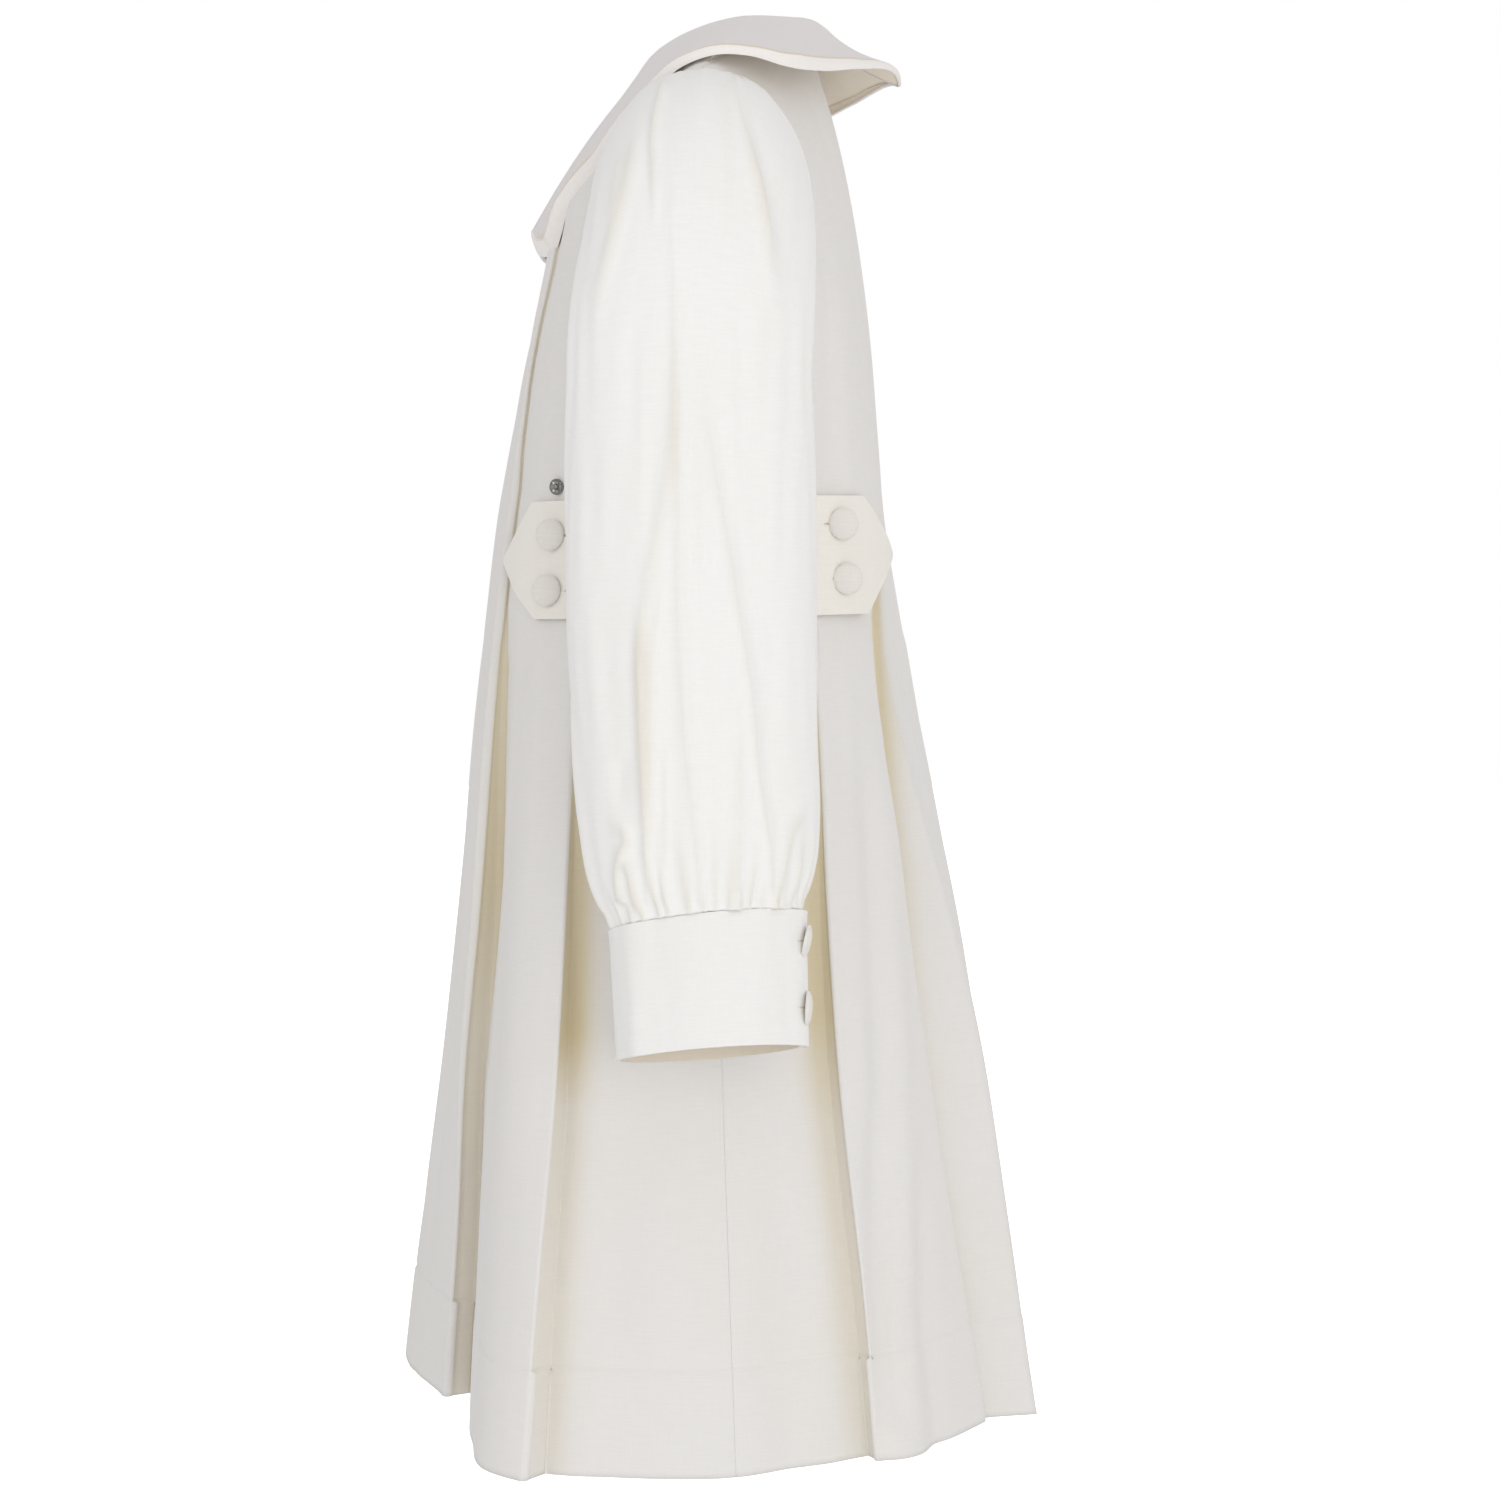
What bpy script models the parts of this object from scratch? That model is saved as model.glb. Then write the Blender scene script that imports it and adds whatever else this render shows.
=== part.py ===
"""Ivory wool dress: a pleated A-line front and back, full gathered sleeves with deep cuffs,
a wide collar in two halves, a buttoned belt tab at each side.

Metres, +Z up. The front looks along -Y and the wearer's left is +X. The origin is the middle
of the neck opening, level with the neck points, where the shoulders carry the dress.
"""
import math

import bmesh
import bpy
from mathutils import Vector

COLLECTION_NAME = "ivory_wool_dress"

# Cloth
CLOTH = 0.0012
HEM_CLOTH = 0.0026
COLLAR_CLOTH = 0.0030
CUFF_CLOTH = 0.0024
TAB_CLOTH = 0.0024
SEAM_GAP = 0.0003
MERGE = 0.00002

UP = Vector((0.0, 0.0, 1.0))

# Heights on the body
CHEST_Z = -0.235
TAB_TOP_Z = -0.310
TAB_FOOT_Z = -0.387
THIGH_Z = -0.620
HEM_Z = -0.907
HEM_DEPTH = 0.064
HEM_EDGE_STEP = 0.003
LEVELS = (CHEST_Z, TAB_TOP_Z, TAB_FOOT_Z, THIGH_Z, HEM_Z)

# One row for each line that runs down the cloth, from the centre front round the left side to
# the centre back: its name, where its top lies along the upper edge, whether the cloth is
# creased there, and its (x, y) at the chest, the tab's top, the tab's foot, the thigh and the hem.
BODY_LINES = (
    ("centre front", 0.0, False,
     (0.0000, -0.1590), (0.0000, -0.1740), (0.0000, -0.1835), (0.0000, -0.2060), (0.0000, -0.2425)),
    ("front fold", 1.7, True,
     (0.0573, -0.1483), (0.0660, -0.1601), (0.0750, -0.1683), (0.0950, -0.1877), (0.1150, -0.2055)),
    ("beside front fold", 2.0, True,
     (0.0578, -0.1439), (0.0665, -0.1557), (0.0755, -0.1639), (0.0900, -0.1740), (0.1070, -0.1860)),
    ("front corner", 2.3, False,
     (0.1020, -0.1347), (0.1120, -0.1420), (0.1180, -0.1520), (0.1600, -0.1655), (0.2240, -0.1760)),
    ("front round", 2.7, False,
     (0.1355, -0.1200), (0.1390, -0.1240), (0.1460, -0.1330), (0.2150, -0.1470), (0.2900, -0.1615)),
    ("side-front fold", 3.0, True,
     (0.1590, -0.1010), (0.1580, -0.1050), (0.1630, -0.1120), (0.2400, -0.1200), (0.3130, -0.1400)),
    ("beside side-front fold", 4.0, True,
     (0.1650, -0.0940), (0.1630, -0.0980), (0.1680, -0.1040), (0.2320, -0.1070), (0.3025, -0.1200)),
    ("side front", 6.2, False,
     (0.1860, -0.0630), (0.1790, -0.0630), (0.1830, -0.0640), (0.2460, -0.0620), (0.3080, -0.0600)),
    ("side seam", 8.0, False,
     (0.1945, -0.0320), (0.1860, -0.0300), (0.1900, -0.0270), (0.2470, -0.0190), (0.3045, -0.0085)),
    ("side back", 9.4, False,
     (0.1900, 0.0060), (0.1840, 0.0050), (0.1870, 0.0080), (0.2430, 0.0120), (0.2850, 0.0280)),
    ("beside side-back fold", 10.8, True,
     (0.1790, 0.0300), (0.1750, 0.0340), (0.1770, 0.0360), (0.2360, 0.0400), (0.2620, 0.0680)),
    ("side-back fold", 12.2, True,
     (0.1740, 0.0370), (0.1710, 0.0410), (0.1720, 0.0440), (0.2400, 0.0540), (0.2730, 0.0840)),
    ("back round", 14.0, False,
     (0.1520, 0.0580), (0.1500, 0.0620), (0.1500, 0.0640), (0.2220, 0.0740), (0.2565, 0.1045)),
    ("back corner", 14.35, False,
     (0.1280, 0.0710), (0.1280, 0.0765), (0.1320, 0.0755), (0.1950, 0.0920), (0.2286, 0.1220)),
    ("back-panel fold", 14.7, True,
     (0.1000, 0.0790), (0.1080, 0.0850), (0.1130, 0.0838), (0.1650, 0.1080), (0.1780, 0.1530)),
    ("beside back-panel fold", 14.8, True,
     (0.0940, 0.0805), (0.1020, 0.0865), (0.1070, 0.0852), (0.1595, 0.1045), (0.1705, 0.1450)),
    ("centre-back fold", 15.0, True,
     (0.0840, 0.0820), (0.0920, 0.0880), (0.0980, 0.0875), (0.1200, 0.1430), (0.1610, 0.1890)),
    ("centre back", 17.0, False,
     (0.0000, 0.0865), (0.0000, 0.0920), (0.0000, 0.1045), (0.0000, 0.1490), (0.0000, 0.1930)),
)

# One row for each pleat: its fold, the line where the cloth comes out from under it, the line on
# the panel that covers it, and how far it is folded (0 flat, 1 folded) at each of the levels.
PLEATS = (
    ("front fold", "beside front fold", "centre front", (1.0, 1.0, 1.0, 1.0, 1.0)),
    ("side-front fold", "beside side-front fold", "front round", (0.0, 0.0, 0.0, 1.0, 1.0)),
    ("side-back fold", "beside side-back fold", "back round", (0.0, 0.0, 0.0, 1.0, 1.0)),
    ("back-panel fold", "beside back-panel fold", "back corner", (0.0, 0.0, 0.0, 1.0, 1.0)),
)
PLEAT_UNDERLAP = 0.010
PLEAT_GAP = 0.0007

# The panels' upper edge, from the centre front over the shoulder seam and round the armhole to
# the underarm, and back over the shoulder to the centre back: a corner or not, the place, and
# the direction in which the panel leaves the edge.
UPPER_EDGE = (
    ("front neck", True, (0.000, -0.056, -0.012), (0.0, -0.80, -0.60)),
    ("side of front neck", False, (0.052, -0.040, -0.006), (0.0, -0.90, -0.40)),
    ("neck point", True, (0.072, -0.005, 0.000), (0.0, -1.0, 0.0)),
    ("shoulder point", True, (0.186, -0.030, -0.037), (-0.6, -1.0, 0.0)),
    ("front armhole top", False, (0.180, -0.057, -0.042), (-0.75, -0.70, -0.35)),
    ("front armhole high", False, (0.170, -0.097, -0.094), (-0.50, -0.50, -0.80)),
    ("front armhole low", False, (0.172, -0.101, -0.150), (-0.40, -0.20, -1.00)),
    ("front underarm", False, (0.186, -0.075, -0.195), (-0.20, -0.10, -1.00)),
    ("underarm", False, (0.1965, -0.033, -0.2135), (0.0, 0.0, -1.0)),
    ("back underarm", False, (0.188, 0.010, -0.198), (-0.10, 0.10, -1.00)),
    ("back armhole low", False, (0.178, 0.038, -0.158), (-0.30, 0.20, -1.00)),
    ("back armhole", False, (0.177, 0.0395, -0.112), (-0.50, 0.30, -1.00)),
    ("back armhole high", False, (0.181, 0.026, -0.072), (-0.60, 0.60, -0.70)),
    ("back armhole top", False, (0.184, -0.002, -0.043), (-0.60, 0.90, -0.30)),
    ("shoulder point", True, (0.186, -0.030, -0.037), (-0.6, 1.0, 0.0)),
    ("neck point", True, (0.072, -0.005, 0.000), (0.0, 1.0, 0.0)),
    ("side of back neck", False, (0.046, 0.030, 0.003), (0.0, 0.60, -0.80)),
    ("back neck", True, (0.000, 0.042, 0.004), (0.0, 0.37, -1.0)),
)
NECK_FRONT = 2
SHOULDER_FRONT = 3
UNDERARM = 8
SHOULDER_BACK = 14
NECK_BACK = 15
YOKE_PULL = 0.38
YOKE_EDGE_PULL = 0.20
SHOULDER_LEAN = 0.0003

# Columns of faces between one line and the next, fold undersides and roots included
FRONT_COLUMNS = (4, 1, 1, 1, 3, 2, 2, 1, 1, 1, 4, 3)
BACK_COLUMNS = (2, 3, 1, 1, 1, 3, 2, 2, 1, 1, 1, 2, 4)
BODY_ROWS = (HEM_Z, HEM_Z + HEM_DEPTH, HEM_Z + HEM_DEPTH + HEM_EDGE_STEP, -0.730, THIGH_Z, -0.500,
             TAB_FOOT_Z, -0.350, TAB_TOP_Z, CHEST_Z)
YOKE_ROWS = (0.18, 0.36, 0.54, 0.72, 0.88, 0.975, 1.0)

# Rings of the left sleeve below the cap: height, centre x and y, half of its depth and breadth,
# how much it slopes sideways and how deep its gathers are.
SLEEVE_RINGS = (
    # z, centre x, centre y, half depth, half breadth, slope, gather
    (-0.235, 0.2500, -0.0360, 0.046, 0.0742, 0.00, 0.0000),
    (-0.300, 0.2520, -0.0365, 0.052, 0.0760, 0.00, 0.0000),
    (-0.380, 0.2600, -0.0363, 0.056, 0.0765, 0.02, 0.0000),
    (-0.460, 0.2740, -0.0327, 0.058, 0.0742, 0.08, 0.0004),
    (-0.510, 0.2840, -0.0298, 0.057, 0.0722, 0.14, 0.0008),
    (-0.535, 0.2910, -0.0288, 0.054, 0.0695, 0.20, 0.0013),
    (-0.553, 0.2980, -0.0280, 0.047, 0.0640, 0.24, 0.0017),
    (-0.566, 0.3040, -0.0268, 0.039, 0.0565, 0.25, 0.0005),
)
SLEEVE_COLUMNS = 48
CAP_ROWS = (0.0, 0.12, 0.30, 0.52, 0.76)
CAP_GATHERS = 24
CAP_GATHER_DEPTH = 0.0016
CUFF_GATHERS = 24
SLEEVE_FRONT_DROP = 0.105
SLEEVE_FULL_SLOPE = 0.25
CAP_STAND = 0.0008
CAP_FALL = -0.45
CAP_TOP_RISE = 0.33
CAP_PULL = 0.30
CAP_ARM_PULL = 0.42
CAP_PLAIN_SHARE = 0.30

# Long soft folds of a sleeve: the angle round the arm at the top and the foot (0 outward,
# 90 to the front), the heights between which it runs, its depth and its half width in degrees.
SLEEVE_FOLDS = (
    # top angle, foot angle, top z, foot z, depth, half width
    (46, 62, -0.080, -0.200, 0.0050, 12),
    (20, 12, -0.060, -0.170, 0.0040, 7),
    (-14, -42, -0.060, -0.200, 0.0045, 9),
    (14, 26, -0.230, -0.450, 0.0020, 9),
    (-18, -12, -0.250, -0.440, 0.0020, 9),
    (34, 30, -0.430, -0.560, 0.0045, 8),
    (12, 8, -0.420, -0.560, 0.0035, 7),
    (-16, -30, -0.420, -0.540, 0.0030, 7),
    (-60, -48, -0.470, -0.560, 0.0045, 10),
    (62, 52, -0.470, -0.560, 0.0040, 9),
    (125, 140, -0.120, -0.300, 0.0035, 14),
    (-125, -140, -0.120, -0.300, 0.0035, 14),
    (150, 160, -0.400, -0.560, 0.0035, 12),
    (-150, -160, -0.400, -0.560, 0.0035, 12),
)

# Cuff
CUFF_DEPTH = 0.078
CUFF_FOOT_CENTRE = (0.322, -0.0240)
CUFF_FOOT_HALF = (0.0400, 0.0550)
CUFF_FOOT_SLOPE = 0.19
CUFF_COLUMNS = 32
CUFF_LAP_START = -102.0
CUFF_LAP = 24.0
CUFF_LAP_RISE = 0.0029
CUFF_ROWS = 3
CUFF_BUTTON_SHARES = (0.23, 0.72)
CUFF_BUTTON_ANGLE = -78.0

# Left half of the collar, from the centre front to the centre back.
# Its outer edge, then the ring over which it rolls, then how far out its middle swells.
COLLAR_OUTER = (
    (0.0014, -0.1520, -0.1260), (0.018, -0.1495, -0.1335), (0.036, -0.1435, -0.1355),
    (0.052, -0.1355, -0.1340), (0.064, -0.1300, -0.1245), (0.076, -0.1245, -0.1090),
    (0.105, -0.1000, -0.0845), (0.130, -0.0800, -0.0595), (0.150, -0.0620, -0.0420),
    (0.163, -0.0450, -0.0290), (0.170, -0.0210, -0.0220), (0.166, -0.0010, -0.0220),
    (0.154, 0.0215, -0.0265), (0.120, 0.0490, -0.0250), (0.085, 0.0720, -0.0190),
    (0.050, 0.0900, -0.0155), (0.025, 0.0990, -0.0160), (0.0014, 0.1025, -0.0205),
)
COLLAR_ROLL = (
    (0.0014, -0.0600, 0.0000), (0.030, -0.0550, 0.0025), (0.054, -0.0400, 0.0070),
    (0.070, -0.0200, 0.0115), (0.077, -0.0020, 0.0135), (0.070, 0.0200, 0.0142),
    (0.050, 0.0370, 0.0165), (0.026, 0.0440, 0.0180), (0.0014, 0.0455, 0.0185),
)
COLLAR_SWELLS = (0.0045, 0.0032, 0.0010, -0.0010, -0.0045)
COLLAR_ROLL_RADIUS = 0.0045
COLLAR_LIP = 0.008
COLLAR_LIP_DROP = 0.006
COLLAR_LIP_ROUND = 0.0022
COLLAR_SEAM_RISE = 0.0016
BASE_STEPS = 80
COLLAR_COLUMNS = 22
COLLAR_FALL_ROWS = 3

# Side belt tab
TAB_POINT = 0.042
TAB_STAND = 0.0018
FIRST_OPEN_LINE = 4
TAB_TIP_HALF = 0.0016
TAB_START_X = 0.0735
TAB_END_X = 0.0960
TAB_BACK_RISE = 0.0045
TAB_FRONT_LEAN = 0.016
TAB_BACK_LEAN = 0.005
TAB_TIP_LIFT = 0.0035
TAB_COLUMNS = 24
TAB_POINT_COLUMNS = 3
TAB_ROWS = 4
TAB_BUTTON_HEIGHTS = (0.0168, -0.0192)
TAB_BUTTON_FRONT = 0.074
TAB_BUTTON_BACK = 0.064
WAY_STEPS = 6
TANGENT_COLUMNS = 0.35
TANGENT_RISE = 0.004

# Covered buttons and the press stud
BUTTON_RADIUS = 0.0104
BUTTON_THICKNESS = 0.0050
TAB_BUTTON_SEAT = 0.0005
CUFF_BUTTON_SEAT = 0.0009
STUD_SEAT = 0.0008
BUTTON_SIDES = 12
STUD_RADIUS = 0.0054
STUD_THICKNESS = 0.0022
STUD_HUB_RADIUS = 0.0021
STUD_HUB_THICKNESS = 0.0034
STUD_HEIGHT = -0.300
STUD_X = 0.1340

COLOURS = {
    "wool": (0.86, 0.84, 0.79),
    "tab_wool": (0.83, 0.80, 0.73),
    "metal": (0.23, 0.22, 0.21),
}


def clear_scene():
    for item in list(bpy.data.objects):
        bpy.data.objects.remove(item)


def material(name, colour, roughness, metallic=0.0):
    """A Principled material of one colour."""
    made = bpy.data.materials.new(name)
    made.use_nodes = True
    shader = made.node_tree.nodes["Principled BSDF"]
    shader.inputs["Base Color"].default_value = (*colour, 1.0)
    shader.inputs["Roughness"].default_value = roughness
    shader.inputs["Metallic"].default_value = metallic
    return made


def mix(low, high, share):
    return low + (high - low) * share


def hermite(start, end, start_slope, end_slope, share):
    """A cubic from start to end with the given slopes, at a share of the way."""
    square = share * share
    cube = square * share
    return (start * (2 * cube - 3 * square + 1) + start_slope * (cube - 2 * square + share)
            + end * (3 * square - 2 * cube) + end_slope * (cube - square))


def slope_at(points, places, creases, index, side):
    """Slope of a smooth curve at one of its points, one-sided at a crease or an end."""
    last = len(points) - 1
    if index == 0 or (creases[index] and side > 0):
        return (points[index + 1] - points[index]) / (places[index + 1] - places[index])
    if index == last or creases[index]:
        return (points[index] - points[index - 1]) / (places[index] - places[index - 1])
    before = places[index] - places[index - 1]
    after = places[index + 1] - places[index]
    slope_before = (points[index] - points[index - 1]) / before
    slope_after = (points[index + 1] - points[index]) / after
    return (slope_before * after + slope_after * before) / (before + after)


def smooth_between(points, places, creases, index, share):
    """A point between two neighbouring points of a smooth curve."""
    width = places[index + 1] - places[index]
    start_slope = slope_at(points, places, creases, index, 1) * width
    end_slope = slope_at(points, places, creases, index + 1, -1) * width
    return hermite(points[index], points[index + 1], start_slope, end_slope, share)


def through(points, at):
    """A point on a smooth curve through evenly numbered points, at a number along it."""
    index = min(int(at), len(points) - 2)
    places = range(len(points))
    creases = [False] * len(points)
    return smooth_between(points, places, creases, index, at - index)


def chord_places(points):
    """Distance along a string of points."""
    places = [0.0]
    for before, after in zip(points, points[1:]):
        places.append(places[-1] + max((after - before).length, 1e-6))
    return places


def along_string(points, share):
    """A point on a smooth curve through points, at a share of its length."""
    places = chord_places(points)
    wanted = share * places[-1]
    index = 0
    while index < len(points) - 2 and places[index + 1] < wanted:
        index += 1
    part = (wanted - places[index]) / (places[index + 1] - places[index])
    return smooth_between(points, places, [False] * len(points), index, part)


def level_value(values, z):
    """A value given at each of the levels, at any height between them."""
    places = [-level for level in LEVELS]
    wanted = -z
    index = 0
    while index < len(places) - 2 and places[index + 1] < wanted:
        index += 1
    share = (wanted - places[index]) / (places[index + 1] - places[index])
    return smooth_between(values, places, [False] * len(places), index, share)


LINE_NAMES = [row[0] for row in BODY_LINES]


def cloth_at(z):
    """Thickness of the dress's cloth at a height: double in the turned-up hem."""
    return HEM_CLOTH if z < HEM_Z + HEM_DEPTH + HEM_EDGE_STEP / 2 else CLOTH


def lines_at(z):
    """The section's points at a height, with the underside and the root of each pleat, as
    (point, creased, place of its top along the upper edge)."""
    base = {}
    for name, _, _, *places in BODY_LINES:
        x, y = (level_value([place[axis] for place in places], z) for axis in (0, 1))
        base[name] = Vector((x, y, z))
    hidden = {}
    lay = 2 * cloth_at(z) + PLEAT_GAP
    for fold, beside, cover, folded in PLEATS:
        openness = min(max(level_value(folded, z), 0.0), 1.0)
        edge = base[fold]
        come_out = base[beside]
        under = (base[cover] - edge).normalized()
        inward = Vector((-under.y, under.x, 0.0))
        if inward.dot(edge) > 0:
            inward = -inward
        flat_underside = edge.lerp(come_out, 1 / 3)
        flat_root = edge.lerp(come_out, 2 / 3)
        folded_underside = edge + inward * lay
        folded_root = come_out + under * PLEAT_UNDERLAP
        hidden[fold] = (flat_underside.lerp(folded_underside, openness),
                        flat_root.lerp(folded_root, openness))
    points = []
    for index, (name, top, creased, *_) in enumerate(BODY_LINES):
        points.append((base[name], creased, top))
        if index + 1 == len(BODY_LINES):
            break
        following = LINE_NAMES[index + 1]
        next_top = BODY_LINES[index + 1][1]
        for fold, beside, _, _ in PLEATS:
            underside, root = hidden[fold]
            if (name, following) == (fold, beside):
                points.append((underside, True, mix(top, next_top, 1 / 3)))
                points.append((root, True, mix(top, next_top, 2 / 3)))
            if (name, following) == (beside, fold):
                points.append((root, True, mix(top, next_top, 1 / 3)))
                points.append((underside, True, mix(top, next_top, 2 / 3)))
    return points


def section_point(lines, column):
    """The point of a section at a column, which is a line's number and a share to the next."""
    index, share = column
    points = [line[0] for line in lines]
    creases = [line[1] for line in lines]
    first = max(index - 1, 0)
    last = min(index + 3, len(points))
    mirrored_start = []
    if index == 0:
        mirrored_start = [Vector((-points[1].x, points[1].y, points[1].z))]
    mirrored_end = []
    if index == len(points) - 2:
        mirrored_end = [Vector((-points[-2].x, points[-2].y, points[-2].z))]
    near = mirrored_start + points[first:last] + mirrored_end
    near_creases = [False] * len(mirrored_start) + creases[first:last] + [False] * len(mirrored_end)
    start = index - first + len(mirrored_start)
    return smooth_between(near, chord_places(near), near_creases, start, share)


def upper_edge(at):
    """A point on the panels' upper edge, and the direction in which the panel leaves it."""
    index = min(int(at), len(UPPER_EDGE) - 2)
    share = at - index
    points = [Vector(row[2]) for row in UPPER_EDGE]
    creases = [row[1] for row in UPPER_EDGE]
    place = smooth_between(points, chord_places(points), creases, index, share)
    leave = Vector(UPPER_EDGE[index][3]).lerp(Vector(UPPER_EDGE[index + 1][3]), share)
    return place, leave.normalized()


def bezier(start, start_pull, end_pull, end, share):
    rest = 1.0 - share
    return (start * rest ** 3 + start_pull * 3 * rest ** 2 * share
            + end_pull * 3 * rest * share ** 2 + end * share ** 3)


def yoke_point(column, share):
    """A point above the chest, on the way from the chest section to the upper edge."""
    lines = lines_at(CHEST_Z)
    below = lines_at(CHEST_Z - 0.01)
    chest = section_point(lines, column)
    rise = (chest - section_point(below, column)).normalized()
    index, part = column
    place, leave = upper_edge(mix(lines[index][2], lines[index + 1][2], part))
    reach = (place - chest).length
    return bezier(chest, chest + rise * reach * YOKE_PULL, place + leave * reach * YOKE_EDGE_PULL,
                  place, share)


def spread_columns(counts, first):
    """The columns of points: so many steps from each line to the next, starting at a line."""
    columns = []
    for offset, count in enumerate(counts):
        for step in range(count):
            columns.append((first + offset, step / count))
    columns.append((first + len(counts) - 1, 1.0))
    return columns


def half_body():
    """Rows of points of the left half of the dress, hem first, from the centre front to the
    centre back."""
    columns = spread_columns(FRONT_COLUMNS + BACK_COLUMNS, 0)
    rows = []
    for z in BODY_ROWS:
        lines = lines_at(z)
        rows.append([section_point(lines, column) for column in columns])
    for share in YOKE_ROWS:
        rows.append([yoke_point(column, share) for column in columns])
    return rows


def lowered_top(row, below, places):
    """The upper edge, moved back by half a seam gap and, at the shoulder seam, by the lean of
    the cloth."""
    moved = []
    for point, under, place in zip(row, below, places):
        away = (under - point).normalized()
        at_shoulder = NECK_FRONT <= place <= SHOULDER_FRONT or SHOULDER_BACK <= place <= NECK_BACK
        lean = SHOULDER_LEAN if at_shoulder else 0.0
        moved.append(point + away * (SEAM_GAP / 2 + lean))
    return moved


def cut_panels():
    """Half of the front and half of the back, their edges half a seam gap from the seam and
    further where the cloth bends over it, so that its inner face clears the seam too."""
    rows = half_body()
    places = edge_places(spread_columns(FRONT_COLUMNS + BACK_COLUMNS, 0))
    rows[-1] = lowered_top(rows[-1], rows[-2], places)
    seam = sum(FRONT_COLUMNS)
    outward = Vector((1.0, 0.0, 0.0))
    front = []
    back = []
    for row in rows:
        here = row[seam]
        behind = (row[seam - 1] - here).normalized()
        ahead = (row[seam + 1] - here).normalized()
        bend = max(-outward.dot(behind + ahead) / 2, 0.0)
        gap = SEAM_GAP / 2 + cloth_at(here.z) * bend
        front.append(row[:seam] + [here + behind * gap])
        back.append([here + ahead * gap] + row[seam + 1:])
    return front, back


def grid_mesh(name, rows, closed=False, flip=False):
    """A mesh of four-sided faces over rows of points."""
    mesh = bpy.data.meshes.new(name)
    bm = bmesh.new()
    verts = [[bm.verts.new(point) for point in row] for row in rows]
    width = len(rows[0])
    spans = width if closed else width - 1
    for below, above in zip(verts, verts[1:]):
        for column in range(spans):
            following = (column + 1) % width
            corners = [below[column], below[following], above[following], above[column]]
            if flip:
                corners.reverse()
            bm.faces.new(corners)
    bm.to_mesh(mesh)
    bm.free()
    mesh.shade_smooth()
    return mesh


def mirrored(rows):
    return [[Vector((-point.x, point.y, point.z)) for point in row] for row in rows]


def add_object(name, mesh, finish, collection):
    made = bpy.data.objects.new(name, mesh)
    made.data.materials.append(finish)
    collection.objects.link(made)
    return made


def thicken(piece, thickness):
    """Give an open surface the thickness of its cloth, inward."""
    solid = piece.modifiers.new("cloth thickness", "SOLIDIFY")
    solid.thickness = thickness
    solid.offset = -1.0
    solid.use_even_offset = False
    solid.use_quality_normals = True
    return solid


def make_panel(name, rows, finish, collection):
    """Front or back: half a panel mirrored at the centre, thicker at the turned-up hem."""
    panel = add_object(name, grid_mesh(name, rows), finish, collection)
    layers = panel.vertex_groups.new(name="cloth")
    for vertex in panel.data.vertices:
        layers.add([vertex.index], cloth_at(vertex.co.z) / HEM_CLOTH, "REPLACE")
    halves = panel.modifiers.new("other half", "MIRROR")
    halves.merge_threshold = MERGE
    solid = thicken(panel, HEM_CLOTH)
    solid.vertex_group = layers.name


def edge_places(columns):
    """Where the columns of a panel end along its upper edge."""
    tops = [line[2] for line in lines_at(CHEST_Z)]
    return [mix(tops[index], tops[min(index + 1, len(tops) - 1)], part) for index, part in columns]


def armhole_half(columns, low, high):
    """Half of the left armhole, along the corners that one panel has there, cut into as many
    steps as half of the sleeve has columns, the longest steps first."""
    corners = [upper_edge(at)[0] for at in edge_places(columns) if low - 1e-6 <= at <= high + 1e-6]
    lengths = [(after - before).length for before, after in zip(corners, corners[1:])]
    counts = [1] * len(lengths)
    while sum(counts) < SLEEVE_COLUMNS // 2:
        widest = max(range(len(counts)), key=lambda i: lengths[i] / counts[i])
        counts[widest] += 1
    points = []
    for before, after, count in zip(corners, corners[1:], counts):
        points += [before.lerp(after, step / count) for step in range(count)]
    return points


def armhole_points():
    """The left armhole from the shoulder point down its front, round the underarm and up."""
    front = armhole_half(spread_columns(FRONT_COLUMNS, 0), SHOULDER_FRONT, UNDERARM)
    back = armhole_half(spread_columns(BACK_COLUMNS, len(FRONT_COLUMNS)), UNDERARM, SHOULDER_BACK)
    return front + back


def sleeve_ring(row, angle, push=0.0):
    """A point of one ring of the sleeve, pushed out; the angle is 0 outward and a quarter turn
    in front."""
    z, centre_x, centre_y, half_depth, half_breadth, slope, _ = row
    x = centre_x + (half_depth + push) * math.cos(angle)
    y = centre_y - (half_breadth + push) * math.sin(angle)
    drop = SLEEVE_FRONT_DROP * min(slope / SLEEVE_FULL_SLOPE, 1.0)
    return Vector((x, y, z + slope * (x - centre_x) + drop * (y - centre_y)))


def fold_depth(angle, z):
    """How deep the long folds press the sleeve in at one place."""
    depth = 0.0
    for top_angle, foot_angle, top_z, foot_z, full, half_width in SLEEVE_FOLDS:
        share = (top_z - z) / (top_z - foot_z)
        if not 0.0 < share < 1.0:
            continue
        middle = math.radians(mix(top_angle, foot_angle, share))
        off = math.atan2(math.sin(angle - middle), math.cos(angle - middle))
        across = off / math.radians(half_width)
        depth += full * math.sin(math.pi * share) ** 0.7 * math.exp(-across * across)
    return depth


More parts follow.
